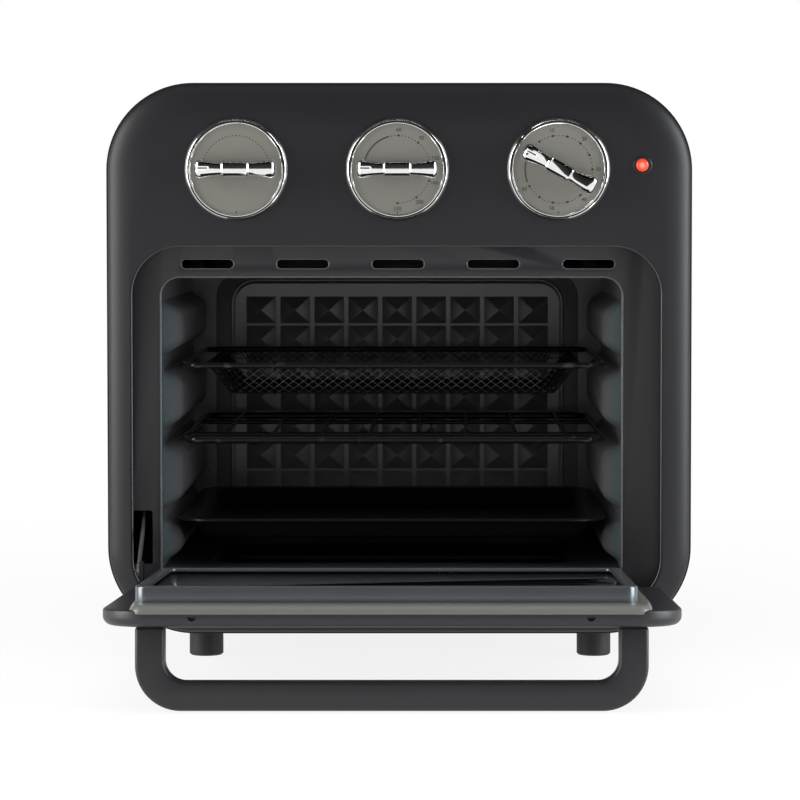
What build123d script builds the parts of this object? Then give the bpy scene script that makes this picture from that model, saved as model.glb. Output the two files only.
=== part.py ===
from build123d import *
import math
import os

# Mini oven with a drop-down door, three dials, a wire rack, a mesh basket and a tray.
# Millimetres. +Z is up and the front faces -Y. The pieces are laid out from the front face
# plane (y = 0) and moved at the end, so that the origin is the bottom centre of the whole box.

# Driving dimensions
WIDTH = 370.0
HEIGHT = 366.0
FOOT_HEIGHT = 17.0
CORNER = 55.0
SHEET = 0.6
SHELL_FRONT = 9.5
SHELL_BACK = 333.0
COVER_SHEET = 0.8
BASE_HALF = 129.5

FASCIA_WALL = 2.5
PILLOW_WIDTH = 30.0
PILLOW_DEPTH = 9.5
FASCIA_DEPTH = 26.0
RECESS_X = (-169.7, 166.3)
RECESS_Z = (34.0, 263.5)
RECESS_CORNER = 31.0
PLATE_FRONT = 14.0
PLATE_SHEET = 0.8
VENT_X = (-121.6, -61.2, -0.8, 59.6, 120.0)
VENT_Z = 252.3
VENT_SIZE = (33.0, 5.8)

CAVITY_X = (-151.5, 141.5)
CAVITY_Z = (57.0, 243.5)
CAVITY_BACK = 289.0
CAVITY_CORNER = 12.0
RIB_DEPTH = 11.5
RIB_BANDS = ((60.0, 87.0), (94.0, 136.5), (145.0, 184.0), (192.5, 228.0))
WELL_DEPTH = 18.0
DOME_HEIGHT = 34.0
PAN_Y = (58.0, 248.0)
PAN_HALF = 118.0
PYRAMID_COLUMNS = 9
PYRAMID_ROWS = 7
PYRAMID_PITCH_X = 23.9
PYRAMID_PITCH_Z = 20.9
PYRAMID_TOP_Z = 214.0
PYRAMID_HEIGHT = 3.8

KNOB_X = (-102.3, -1.0, 100.3)
KNOB_Z = 311.4
RING_R = 32.5
DIAL_R = 29.2
KNOB_LENGTH = 50.6
KNOB_FRONT = -17.0
KNOB_BACK = -3.0
SHAFT_R = 3.0
TIMER_TURN = 28.0
LAMP_X = 153.0
LAMP_Z = 314.0

DOOR_WIDTH = 333.0
DOOR_X = -1.7
DOOR_Z = (37.0, 262.0)
DOOR_THICK = 9.8
HINGE_Y = 5.2
HINGE_Z = 43.0
HINGE_PIN_R = 2.5
DOOR_NOTCH = 12.0
LEFT_EAR = (-155.3, -153.0)
RIGHT_EAR = (149.6, 151.9)
DOOR_OPEN = 87.0
GLASS_FRAME_X = (-147.5, 138.5)
GLASS_FRAME_Z = (58.6, 241.4)
GLASS_FRAME_HEIGHT = 12.5

HANDLE_WIDTH = 292.9
HANDLE_BAR = 16.8
HANDLE_REACH = 47.4
HANDLE_DEPTH = 15.0
HANDLE_CORNER = 26.0

LEVER_X = (-167.5, -157.5)
LEVER_Z = (62.0, 95.0)
LEVER_PIVOT = (-22.0, 61.5)
LEVER_PLANE = (-163.6, -162.1)
LEVER_ANGLE = 32.6
LEVER_LENGTH = 62.0
LUG_X = (-161.9, -159.4)

FOOT_R = 10.9
FOOT_X = 124.7
FOOT_Y = (38.0, 290.0)

RACK_X = (-143.0, 133.0)
RACK_Y = (24.0, 268.0)
BASKET_LEVEL = 186.7
RACK_LEVEL = 139.2
TRAY_LEVEL = 88.7
BASKET_DROP = 20.0
TRAY_DROP = 14.0
NET_SHEET = 1.2
RIM_WIRE_R = 2.0
RACK_WIRE_R = 2.5
WIRE_CORNER = 9.0
RACK_WIRES = 8
RACK_FIRST_X = -113.2
RACK_PITCH = 31.35

HEATER_R = 4.0
HEATER_Y = (86.0, 220.0)
HEATER_HALF = 124.0
FAN_Y = 150.0
FAN_R = 62.0
FAN_BLADES = 10
CORD_GLAND = (130.0, 200.0)
COVER_SCREWS = ((-150, 60), (150, 60), (-150, 320), (150, 320), (0, 352), (0, 30))

# Derived places
SHELL_MID_Z = (HEIGHT + FOOT_HEIGHT) / 2
SHELL_TALL = HEIGHT - FOOT_HEIGHT
RECESS_MID_X = sum(RECESS_X) / 2
RECESS_MID_Z = sum(RECESS_Z) / 2
CAVITY_MID_X = sum(CAVITY_X) / 2
CAVITY_MID_Z = sum(CAVITY_Z) / 2
CAVITY_WIDE = CAVITY_X[1] - CAVITY_X[0]
CAVITY_TALL = CAVITY_Z[1] - CAVITY_Z[0]
PLATE_BACK = PLATE_FRONT + PLATE_SHEET
CAVITY_LONG = CAVITY_BACK - PLATE_BACK
CAVITY_MID_Y = (PLATE_BACK + CAVITY_BACK) / 2
SWITCH_FACE = PLATE_BACK + 1.0
UPPER_HEATER_Z = CAVITY_Z[1] + 7.0
LOWER_HEATER_Z = CAVITY_Z[0] - 8.5
FAN_LOW = CAVITY_Z[1] + 14.0
FAN_HIGH = CAVITY_Z[1] + 29.0
DOME_TOP = CAVITY_Z[1] + DOME_HEIGHT + SHEET
DOOR_REACH = DOOR_Z[1] - HINGE_Z
DOOR_FRONT = HINGE_Y - DOOR_THICK / 2
DOOR_BACK = HINGE_Y + DOOR_THICK / 2
HANDLE_Z = DOOR_Z[1] - 10.0 - HANDLE_DEPTH / 2
HANDLE_ARM = (HANDLE_WIDTH - HANDLE_BAR) / 2
HANDLE_SCREW_X = (DOOR_X - HANDLE_ARM, DOOR_X + HANDLE_ARM)
OPEN = math.radians(DOOR_OPEN)
FRONT_TIP = HINGE_Y - DOOR_REACH * math.sin(OPEN) - DOOR_THICK / 2 * math.cos(OPEN)
COVER_BACK = SHELL_BACK + COVER_SHEET
Y_MID = (FRONT_TIP + COVER_BACK) / 2
EPS = 0.01


def front(y, x=0.0, z=0.0):
    """A drawing plane at depth y that faces the viewer, with sketch x to +X and sketch y to +Z."""
    return Plane(origin=(x, y, z), x_dir=(1, 0, 0), z_dir=(0, -1, 0))


def slab(sketch, y_front, thick, x=0.0, z=0.0):
    """A sketch seen from the front, as a slab that starts at y_front and goes back."""
    return extrude(front(y_front + thick, x, z) * sketch, thick)


def rod_y(radius, y0, y1, x, z):
    """A round bar along Y."""
    return Pos(x, (y0 + y1) / 2, z) * Rot(90, 0, 0) * Cylinder(radius, y1 - y0)


def rod_x(radius, x0, x1, y, z):
    """A round bar along X."""
    return Pos((x0 + x1) / 2, y, z) * Rot(0, 90, 0) * Cylinder(radius, x1 - x0)


def rod_z(radius, z0, z1, x, y):
    """A round bar along Z."""
    return Pos(x, y, (z0 + z1) / 2) * Cylinder(radius, z1 - z0)


def block(x, y, z):
    """A box from its low and high values on each axis."""
    middle = Pos(sum(x) / 2, sum(y) / 2, sum(z) / 2)
    return middle * Box(x[1] - x[0], y[1] - y[0], z[1] - z[0])


def ring_y(outer, inner, y0, y1, x, z):
    """A round ring along Y."""
    return rod_y(outer, y0, y1, x, z) - rod_y(inner, y0 - 1, y1 + 1, x, z)


def save(name, *solids):
    """Writes one node, moved to the part's own frame."""
    moved = [Pos(0, -Y_MID, 0) * s for s in solids]
    flat = [s for m in moved for s in m.solids()]
    shape = flat[0] if len(flat) == 1 else Compound(flat)
    shape.label = name
    export_step(shape, f"parts/{name}.step")


def opened(shape):
    """A piece of the door, drawn shut, turned to the open pose of the photograph."""
    turn = Pos(0, HINGE_Y, HINGE_Z) * Rot(DOOR_OPEN, 0, 0) * Pos(0, -HINGE_Y, -HINGE_Z)
    return turn * shape


# Casing


def outer_shell():
    outline = RectangleRounded(WIDTH, SHELL_TALL, CORNER)
    hollow = RectangleRounded(WIDTH - 2 * SHEET, SHELL_TALL - 2 * SHEET, CORNER - SHEET)
    long = SHELL_BACK - SHELL_FRONT
    shell = slab(outline - hollow, SHELL_FRONT, long, z=SHELL_MID_Z)
    shell -= block((-95, 95), (70, 250), (FOOT_HEIGHT - 1, FOOT_HEIGHT + 3))
    for x in (-FOOT_X, FOOT_X):
        for y in FOOT_Y:
            shell -= rod_z(2.4, FOOT_HEIGHT - 1, FOOT_HEIGHT + 3, x, y)
    return shell


def pillow(shrink, depth):
    """The fascia's swollen front: an elliptical edge all round, drawn in by shrink."""
    wide = WIDTH - 2 * SHEET - 0.4 - 2 * shrink
    tall = SHELL_TALL - 2 * SHEET - 0.4 - 2 * shrink
    corner = CORNER - SHEET - 0.2 - shrink
    sections = []
    for step in range(7):
        angle = math.radians(15 * step)
        inset = PILLOW_WIDTH * (1 - math.cos(angle))
        y = shrink + depth * (1 - math.sin(angle))
        outline = RectangleRounded(wide - 2 * inset, tall - 2 * inset, corner - inset)
        sections.append(front(y, z=SHELL_MID_Z) * outline)
    skirt = RectangleRounded(wide, tall, corner)
    back = FASCIA_DEPTH + shrink
    return loft([front(back, z=SHELL_MID_Z) * skirt] + sections, ruled=True)


def recess_outline(grow):
    wide = RECESS_X[1] - RECESS_X[0] + 2 * grow
    tall = RECESS_Z[1] - RECESS_Z[0] + 2 * grow
    return RectangleRounded(wide, tall, RECESS_CORNER + grow)


def front_fascia():
    body = pillow(0.0, PILLOW_DEPTH)
    inner = pillow(FASCIA_WALL, PILLOW_DEPTH)
    wall = slab(recess_outline(5.0), 0, PLATE_FRONT, RECESS_MID_X, RECESS_MID_Z)
    body -= inner - wall
    bevelled = ((60.0, 0.0), (3.0, 0.0), (-1.0, 4.0))
    mouth = [front(y, RECESS_MID_X, RECESS_MID_Z) * recess_outline(grow) for y, grow in bevelled]
    body -= loft(mouth, ruled=True)
    for x in KNOB_X:
        body -= rod_y(6.0, -5, 30, x, KNOB_Z)
    return body - rod_y(5.2, -5, 30, LAMP_X, LAMP_Z)


def inner_front_plate():
    outline = RectangleRounded(WIDTH - 9.0, SHELL_TALL - 9.0, CORNER - 4.5)
    plate = slab(outline, PLATE_FRONT, PLATE_SHEET, z=SHELL_MID_Z)
    hole = RectangleRounded(CAVITY_WIDE, CAVITY_TALL, CAVITY_CORNER)
    plate -= slab(hole, PLATE_FRONT - 2, 5, CAVITY_MID_X, CAVITY_MID_Z)
    for x in VENT_X:
        plate -= slab(SlotOverall(*VENT_SIZE), PLATE_FRONT - 2, 5, x, VENT_Z)
    for x in KNOB_X:
        plate -= rod_y(5.0, 10, 20, x, KNOB_Z)
    plate -= rod_y(6.5, 10, 20, LAMP_X, LAMP_Z)
    plate -= block(LEVER_X, (10, 20), LEVER_Z)
    return plate


def side_wall(side):
    """A cavity side with pressed ribs that leave grooves for the rack, basket and tray."""
    x = CAVITY_X[0] if side < 0 else CAVITY_X[1]
    outer = x + side * SHEET
    low, high = min(x, outer), max(x, outer)
    tall = (CAVITY_Z[0] - SHEET, CAVITY_Z[1] + SHEET)
    wall = block((low, high), (PLATE_BACK, CAVITY_BACK), tall)
    for z0, z1 in RIB_BANDS:
        wall += rib(x, side, z0, z1, RIB_DEPTH, 0.0)
        wall -= rib(outer + side * EPS, side, z0, z1, RIB_DEPTH, SHEET * 1.1)
    return wall


def rib(x, side, z0, z1, deep, inset):
    """A pressed rib with sloped ends, that stands inward from a side wall."""
    plane = Plane(origin=(x, CAVITY_MID_Y, (z0 + z1) / 2), x_dir=(0, 1, 0), z_dir=(-side, 0, 0))
    tall = z1 - z0 - 2 * inset
    long = CAVITY_LONG - 26.0 - 2 * inset
    return extrude(plane * RectangleRounded(long, tall, 5.0), deep, taper=14)


def pan(z_base, height, direction, y0, y1, half, thick):
    """A pressed pan in the cavity's ceiling or floor, hollow towards the cavity."""
    centre = (CAVITY_MID_X, (y0 + y1) / 2, z_base)
    plane = Plane(origin=centre, x_dir=(1, 0, 0), z_dir=(0, 0, direction))
    outline = RectangleRounded(2 * half + 2 * thick, y1 - y0 + 2 * thick, 14)
    return extrude(plane * outline, height + thick, taper=6)


def cavity_sheet(z, direction, height):
    """The cavity's ceiling or floor: a sheet with a pressed pan that holds the heaters."""
    x = (CAVITY_X[0], CAVITY_X[1])
    z_range = (z, z + SHEET) if direction > 0 else (z - SHEET, z)
    sheet = block(x, (PLATE_BACK, CAVITY_BACK), z_range)
    sheet += pan(z, height, direction, *PAN_Y, PAN_HALF, SHEET)
    sheet -= pan(z - direction * EPS, height, direction, *PAN_Y, PAN_HALF, 0.0)
    return sheet


def heater_holes(shape, z):
    for y in HEATER_Y:
        shape -= rod_x(HEATER_R + 0.2, CAVITY_MID_X - 170, CAVITY_MID_X + 170, y, z)
    return shape


def cavity_ceiling():
    sheet = cavity_sheet(CAVITY_Z[1], 1, DOME_HEIGHT)
    sheet = heater_holes(sheet, UPPER_HEATER_Z)
    top = CAVITY_Z[1] + DOME_HEIGHT
    return sheet - rod_z(6.0, top - 3, top + 3, CAVITY_MID_X, FAN_Y)


def cavity_floor():
    sheet = cavity_sheet(CAVITY_Z[0], -1, WELL_DEPTH)
    return heater_holes(sheet, LOWER_HEATER_Z)


def cavity_back():
    """The cavity's rear wall, with a raised panel of small pyramids."""
    wide = CAVITY_WIDE + 2 * SHEET
    tall = CAVITY_TALL + 2 * SHEET
    wall = slab(Rectangle(wide, tall), CAVITY_BACK, SHEET, CAVITY_MID_X, CAVITY_MID_Z)
    panel = RectangleRounded(233.0, 168.0, 16.0)
    wall += slab(panel, CAVITY_BACK - 0.8, 1.0, CAVITY_MID_X, 150.0)
    for column in range(PYRAMID_COLUMNS):
        for row in range(PYRAMID_ROWS):
            x = CAVITY_MID_X + (column - (PYRAMID_COLUMNS - 1) / 2) * PYRAMID_PITCH_X
            z = PYRAMID_TOP_Z - row * PYRAMID_PITCH_Z
            base = front(CAVITY_BACK - 0.7, x, z) * Rectangle(20.6, 17.6)
            tip = front(CAVITY_BACK - 0.7 - PYRAMID_HEIGHT, x, z) * Rectangle(1.2, 1.0)
            wall += loft([base, tip], ruled=True)
    return wall


def rear_cover():
    outline = RectangleRounded(WIDTH - 1.0, SHELL_TALL - 1.0, CORNER - 0.5)
    cover = slab(outline, SHELL_BACK, COVER_SHEET, z=SHELL_MID_Z)
    louvre = SlotOverall(60.0, 4.0)
    for column in range(3):
        for row in range(8):
            cover -= slab(louvre, SHELL_BACK - 1, 4, (column - 1) * 84.0, 270.0 + row * 9.0)
            cover -= slab(louvre, SHELL_BACK - 1, 4, (column - 1) * 84.0, 60.0 + row * 9.0)
    cover -= rod_y(7.6, SHELL_BACK - 1, SHELL_BACK + 3, *CORD_GLAND)
    for x, z in COVER_SCREWS:
        cover -= rod_y(1.7, SHELL_BACK - 1, SHELL_BACK + 3, x, z)
    return cover




def screw_y(x, z, y_face, direction, length=8.0, head=2.6, shank=1.5):
    """A pan-head screw along Y with its head against y_face, pointing the way given."""
    top = y_face - direction * 1.6
    tip = y_face + direction * length
    shape = rod_y(head, min(top, y_face), max(top, y_face), x, z)
    shape += rod_y(shank, min(y_face, tip) - EPS, max(y_face, tip) + EPS, x, z)
    cross = block((x - 1.6, x + 1.6), (-0.5, 0.5), (z - 0.35, z + 0.35))
    cross += block((x - 0.35, x + 0.35), (-0.5, 0.5), (z - 1.6, z + 1.6))
    return shape - Pos(0, top, 0) * cross


def cord_gland():
    bush = ring_y(7.4, 4.0, SHELL_BACK - 7, SHELL_BACK + 1.2, *CORD_GLAND)
    return bush + ring_y(10.0, 4.0, SHELL_BACK - 3.0, SHELL_BACK - EPS, *CORD_GLAND)


def base_plate():
    across = (-BASE_HALF, BASE_HALF)
    plate = block(across, (28, 304), (FOOT_HEIGHT + SHEET, FOOT_HEIGHT + 2 * SHEET))
    for row in range(9):
        for x in (-45, 45):
            hole = Pos(x, 90 + row * 17.5, FOOT_HEIGHT + SHEET / 2) * extrude(SlotOverall(60, 5), 5)
            plate -= hole
    for x in (-FOOT_X, FOOT_X):
        for y in FOOT_Y:
            plate -= rod_z(2.1, FOOT_HEIGHT - 1, FOOT_HEIGHT + 5, x, y)
    return plate


def foot(x, y):
    body = rod_z(FOOT_R, 0, FOOT_HEIGHT, x, y)
    body = chamfer(body.edges().group_by(Axis.Z)[0], 1.0)
    body -= rod_z(5.2, -1, 5, x, y)
    return body - rod_z(2.3, 0, FOOT_HEIGHT + 1, x, y)


def foot_screw(x, y):
    head = rod_z(4.4, 2.0, 5.0, x, y)
    shank = rod_z(2.0, 5.0 - EPS, FOOT_HEIGHT + 9, x, y)
    return head + shank - block((x - 3, x + 3), (y - 0.5, y + 0.5), (1.5, 3.0))


# Dials, knobs and what they turn


def dial_ring(x):
    """A stepped bright ring round a dial, with a groove between two rounded lips."""
    profile = [(DIAL_R, 0), (RING_R, 0), (RING_R, -2.4), (31.8, -3.4), (31.0, -3.6)]
    profile += [(30.6, -2.9), (30.2, -3.2), (29.7, -3.2), (DIAL_R, -2.6)]
    outline = Polyline(*profile, close=True)
    face = make_face(Plane.XY * outline)
    ring = revolve(face, Axis.Y, 360)
    return Pos(x, 0, KNOB_Z) * ring


def dial_disc(x):
    disc = rod_y(DIAL_R - 0.05, -1.2, 0, x, KNOB_Z)
    return disc - rod_y(6.5, -3, 1, x, KNOB_Z)


def knob_bar(x, turn):
    """A waisted grip bar that flares at both ends, with two bands round its middle."""
    half = KNOB_LENGTH / 2
    stations = ((half, 6.0, 7.0), (half - 5, 5.2, 6.4), (half - 13, 3.9, 5.8), (7.6, 4.6, 6.6))
    mid_y = (KNOB_FRONT + KNOB_BACK) / 2
    arms = None
    for side in (-1, 1):
        sections = []
        for s, h, d in stations:
            plane = Plane(origin=(side * s, mid_y, 0), x_dir=(0, 1, 0), z_dir=(1, 0, 0))
            sections.append(plane * RectangleRounded(2 * d, 2 * h, 2.4))
        arm = loft(sections, ruled=True)
        arms = arm if arms is None else arms + arm
    hub = Pos(0, mid_y, 0) * Box(15.4, 13.4, 9.4)
    hub = fillet(hub.edges().filter_by(Axis.X), 2.0)
    bar = arms + hub
    for s in (-7.0, 7.0):
        band = Pos(s, mid_y, 0) * Box(1.6, 14.0, 12.4)
        bar += fillet(band.edges().filter_by(Axis.X), 2.6)
    neck = rod_y(6.0, KNOB_BACK - 3.0, -0.2, 0, 0)
    bar = bar + neck - rod_y(3.02, -10.0, 1, 0, 0)
    return Pos(x, 0, KNOB_Z) * Rot(0, turn, 0) * bar


def control_shaft(x):
    return rod_y(SHAFT_R, -9.8, 30.0, x, KNOB_Z)


def control_body(x, wide, tall, deep, bush=4.6):
    """A control unit behind the front plate, with a bush that its shaft runs in."""
    across = (x - wide / 2, x + wide / 2)
    upright = (KNOB_Z - tall / 2, KNOB_Z + tall / 2)
    body = block(across, (SWITCH_FACE, SWITCH_FACE + deep), upright)
    body = fillet(body.edges().filter_by(Axis.Y), 3.0)
    body += rod_y(bush, PLATE_FRONT - 3.0, SWITCH_FACE + 1, x, KNOB_Z)
    body += rod_y(9.0, PLATE_BACK, SWITCH_FACE + 1, x, KNOB_Z)
    return body - rod_y(SHAFT_R + 0.05, 0, 30.3, x, KNOB_Z)


def selector_switch():
    body = control_body(KNOB_X[0], 34, 30, 26)
    across = (KNOB_X[0] - 3.2, KNOB_X[0] + 3.2)
    for row in range(4):
        z = KNOB_Z - 11 + row * 7.0
        body += block(across, (SWITCH_FACE + 25, SWITCH_FACE + 34), (z, z + 0.8))
    return body


def thermostat():
    body = control_body(KNOB_X[1], 30, 36, 22)
    body += rod_y(13.0, SWITCH_FACE + 21, SWITCH_FACE + 28, KNOB_X[1], KNOB_Z)
    for x in (-9.0, 9.0):
        across = (KNOB_X[1] + x - 3.2, KNOB_X[1] + x + 3.2)
        upright = (KNOB_Z - 15.5, KNOB_Z - 14.7)
        body += block(across, (SWITCH_FACE + 21, SWITCH_FACE + 31), upright)
    return body


def thermostat_bulb():
    """The sensing bulb and its thin tube, clipped to the back of the cavity's ceiling."""
    x = KNOB_X[1] + 22.0
    z = CAVITY_Z[1] + SHEET + 3.2
    bulb = Pos(x + 40, 50.5, z) * Rot(0, 90, 0) * Cylinder(2.4, 70)
    tube = rod_z(1.0, z, KNOB_Z, x, 50.5)
    foot_run = rod_x(1.0, x - 0.8, x + 6, 50.5, z)
    top_run = rod_x(1.0, KNOB_X[1] + 15.1, x + 0.8, 50.5, KNOB_Z)
    return bulb + tube + foot_run + top_run


def timer_unit():
    body = control_body(KNOB_X[2], 44, 44, 24)
    across = (KNOB_X[2] + 21, KNOB_X[2] + 30)
    for z in (KNOB_Z - 12.0, KNOB_Z + 12.0):
        body += block(across, (SWITCH_FACE + 6, SWITCH_FACE + 12), (z, z + 0.8))
    return body


def timer_bell():
    y0 = SWITCH_FACE + 24
    dome = rod_y(17.0, y0 + 2, y0 + 9, KNOB_X[2], KNOB_Z)
    dome = fillet(dome.edges().group_by(Axis.Y)[-1], 5.0)
    dome -= rod_y(15.6, y0 + 1, y0 + 6, KNOB_X[2], KNOB_Z)
    return dome + rod_y(2.4, y0, y0 + 7.5, KNOB_X[2], KNOB_Z)


def lamp_bezel():
    return ring_y(5.1, 4.0, -0.6, 6.0, LAMP_X, LAMP_Z) + ring_y(6.2, 4.0, -0.6, -EPS, LAMP_X, LAMP_Z)


def lamp_lens():
    lens = rod_y(3.95, -1.6, 8.0, LAMP_X, LAMP_Z)
    return fillet(lens.edges().group_by(Axis.Y)[0], 1.0)


def lamp_body():
    body = ring_y(6.2, 3.0, 8.0, 24.0, LAMP_X, LAMP_Z)
    return body + rod_y(6.2, 24.0 - EPS, 30.0, LAMP_X, LAMP_Z)


# Heat and air


def heater(y, z):
    """A straight tubular element with a thin stud at each end."""
    rod = rod_x(HEATER_R, CAVITY_MID_X - HEATER_HALF, CAVITY_MID_X + HEATER_HALF, y, z)
    stud = HEATER_HALF + 12
    return rod + rod_x(1.6, CAVITY_MID_X - stud, CAVITY_MID_X + stud, y, z)


def heater_insulators():
    """Ceramic bushes that carry the elements in the walls of the pans."""
    bushes = []
    for y in HEATER_Y:
        for z in (UPPER_HEATER_Z, LOWER_HEATER_Z):
            for side in (-1, 1):
                x0 = CAVITY_MID_X + side * (HEATER_HALF + 0.1)
                x1 = CAVITY_MID_X + side * (HEATER_HALF + 9)
                bush = rod_x(6.0, min(x0, x1), max(x0, x1), y, z)
                bushes.append(bush - rod_x(1.7, min(x0, x1) - 1, max(x0, x1) + 1, y, z))
    return bushes


def fan_wheel():
    """A flat fan wheel with upright blades round a hub."""
    wheel = rod_z(FAN_R, FAN_HIGH - 1.2, FAN_HIGH, CAVITY_MID_X, FAN_Y)
    wheel += rod_z(9.0, FAN_LOW, FAN_HIGH, CAVITY_MID_X, FAN_Y)
    blade = Pos(35.0, 6.0, (FAN_LOW + FAN_HIGH) / 2) * Rot(0, 0, 18)
    blade = blade * Box(46, 1.2, FAN_HIGH - FAN_LOW)
    for index in range(FAN_BLADES):
        arm = Pos(CAVITY_MID_X, FAN_Y, 0) * Rot(0, 0, 360 / FAN_BLADES * index)
        wheel += arm * blade
    return wheel - rod_z(SHAFT_R, FAN_LOW - 1, FAN_HIGH + 1, CAVITY_MID_X, FAN_Y)


def fan_shaft():
    return rod_z(SHAFT_R, FAN_LOW, DOME_TOP + 24, CAVITY_MID_X, FAN_Y)


def fan_motor():
    across = (CAVITY_MID_X - 30, CAVITY_MID_X + 30)
    body = block(across, (FAN_Y - 26, FAN_Y + 26), (DOME_TOP + 12, DOME_TOP + 38))
    body = fillet(body.edges().filter_by(Axis.Z), 5.0)
    body += rod_z(8.0, DOME_TOP + 8, DOME_TOP + 13, CAVITY_MID_X, FAN_Y)
    return body - rod_z(SHAFT_R + 0.05, DOME_TOP, DOME_TOP + 24.3, CAVITY_MID_X, FAN_Y)


def motor_bracket():
    """A bridge that carries the motor above the ceiling's pan."""
    x = (CAVITY_MID_X - 12, CAVITY_MID_X + 12)
    top = block(x, (FAN_Y - 44, FAN_Y + 44), (DOME_TOP + 10.4, DOME_TOP + 12))
    for side in (-1, 1):
        y0 = FAN_Y + side * 42.4
        y1 = FAN_Y + side * 44
        top += block(x, (min(y0, y1), max(y0, y1)), (DOME_TOP, DOME_TOP + 12))
        y2 = FAN_Y + side * 54
        top += block(x, (min(y1, y2), max(y1, y2)), (DOME_TOP, DOME_TOP + 1.6))
    return top - rod_z(8.2, DOME_TOP + 5, DOME_TOP + 20, CAVITY_MID_X, FAN_Y)


def fan_guard():
    """A round grille under the fan, of rings on two bars."""
    z = CAVITY_Z[1] + 0.6
    grille = None
    for radius in (14, 26, 38, 50, 62, 74):
        band = rod_z(radius, z, z + 1.6, CAVITY_MID_X, FAN_Y)
        band -= rod_z(radius - 2, z - 1, z + 3, CAVITY_MID_X, FAN_Y)
        grille = band if grille is None else grille + band
    low, high = PAN_Y[0] + 3.0, PAN_Y[1] - 3.0
    for x in (-10.0, 10.0):
        place = CAVITY_MID_X + x
        grille += block((place - 1.2, place + 1.2), (low, high), (z, z + 1.6))
    return grille


def terminal_block():
    x = CORD_GLAND[0]
    upright = (CORD_GLAND[1] - 46, CORD_GLAND[1] - 24)
    body = block((x - 14, x + 14), (SHELL_BACK - 16, SHELL_BACK), upright)
    for row in range(3):
        body -= rod_y(2.2, SHELL_BACK - 17, SHELL_BACK - 6, x - 8.5 + 8.5 * row, CORD_GLAND[1] - 35)
    return body


# Door, drawn shut and then turned open

def door_panel():
    """The door's outer plate, with a window, and its lower corners cut back for the hinges."""
    wide = DOOR_WIDTH
    tall = DOOR_Z[1] - DOOR_Z[0]
    mid_z = sum(DOOR_Z) / 2
    plate = slab(RectangleRounded(wide, tall, 30.0), DOOR_FRONT, DOOR_THICK, DOOR_X, mid_z)
    plate = chamfer(plate.edges().group_by(Axis.Y)[0], 1.0)
    window = RectangleRounded(236.0, 132.0, 12.0)
    plate -= slab(window, DOOR_FRONT - 1, 30, CAVITY_MID_X, CAVITY_MID_Z)
    for low, high in ((-175.0, LEFT_EAR[1] + 0.4), (RIGHT_EAR[0] - 0.4, 175.0)):
        plate -= block((low, high), (-20, 30), (30, HINGE_Z + DOOR_NOTCH))
    for x in HANDLE_SCREW_X:
        plate -= rod_y(2.2, DOOR_FRONT - 1, DOOR_BACK + 1, x, HANDLE_Z)
    plate -= rod_x(HINGE_PIN_R + 0.02, -170, -140, HINGE_Y, HINGE_Z)
    plate -= rod_x(HINGE_PIN_R + 0.02, 136, 170, HINGE_Y, HINGE_Z)
    return plate


def glass_frame():
    """The raised frame on the door's inner face, which stands into the cavity's mouth."""
    wide = GLASS_FRAME_X[1] - GLASS_FRAME_X[0]
    tall = GLASS_FRAME_Z[1] - GLASS_FRAME_Z[0]
    x = sum(GLASS_FRAME_X) / 2
    z = sum(GLASS_FRAME_Z) / 2
    outer = RectangleRounded(wide, tall, 6.0)
    inner = RectangleRounded(wide - 14, tall - 14, 4.0)
    frame = slab(outer - inner, DOOR_BACK, GLASS_FRAME_HEIGHT, x, z)
    seat = RectangleRounded(wide - 6, tall - 6, 5.0)
    return frame - slab(seat, DOOR_BACK + 6.0, 4.0, x, z)


def door_glass():
    wide = GLASS_FRAME_X[1] - GLASS_FRAME_X[0] - 7
    tall = GLASS_FRAME_Z[1] - GLASS_FRAME_Z[0] - 7
    x = sum(GLASS_FRAME_X) / 2
    z = sum(GLASS_FRAME_Z) / 2
    return slab(RectangleRounded(wide, tall, 4.5), DOOR_BACK + 6.0, 4.0, x, z)


def outer_glass():
    pane = RectangleRounded(235.6, 131.6, 11.8)
    return slab(pane, DOOR_FRONT + 2.0, 3.2, CAVITY_MID_X, CAVITY_MID_Z)


def handle():
    """A squared loop: two arms that stand out from the door and the bar between them."""
    half = HANDLE_WIDTH / 2
    tall = HANDLE_REACH
    plane = Plane(origin=(DOOR_X, DOOR_FRONT, HANDLE_Z - HANDLE_DEPTH / 2), x_dir=(1, 0, 0), z_dir=(0, 0, 1))
    outer = Pos(0, -tall / 2) * Rectangle(2 * half, tall)
    outer = fillet(outer.vertices().group_by(Axis.Y)[0], HANDLE_CORNER)
    gap = tall - HANDLE_BAR
    inner = Pos(0, -gap / 2) * Rectangle(2 * (half - HANDLE_BAR), gap)
    inner = fillet(inner.vertices().group_by(Axis.Y)[0], HANDLE_CORNER - 14)
    loop = extrude(plane * (outer - inner), HANDLE_DEPTH)
    faces = (HANDLE_Z - HANDLE_DEPTH / 2, HANDLE_Z + HANDLE_DEPTH / 2)
    rims = [e for e in loop.edges() if min(abs(e.center().Z - z) for z in faces) < 0.01]
    loop = chamfer([e for e in rims if abs(e.center().Y - DOOR_FRONT) > 0.01], 1.2)
    for x in HANDLE_SCREW_X:
        loop -= rod_y(1.6, DOOR_FRONT - 16, DOOR_FRONT + 1, x, HANDLE_Z)
    return loop


def handle_screw(x):
    head = rod_y(2.9, DOOR_BACK, DOOR_BACK + 2.2, x, HANDLE_Z)
    shank = rod_y(1.55, DOOR_FRONT - 12, DOOR_BACK + EPS, x, HANDLE_Z)
    upright = (HANDLE_Z - 0.5, HANDLE_Z + 0.5)
    slotted = block((x - 3, x + 3), (DOOR_BACK + 1.4, DOOR_BACK + 3), upright)
    return head + shank - slotted


def hinge_pin(x0, x1):
    return rod_x(HINGE_PIN_R, x0, x1, HINGE_Y, HINGE_Z)


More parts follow.
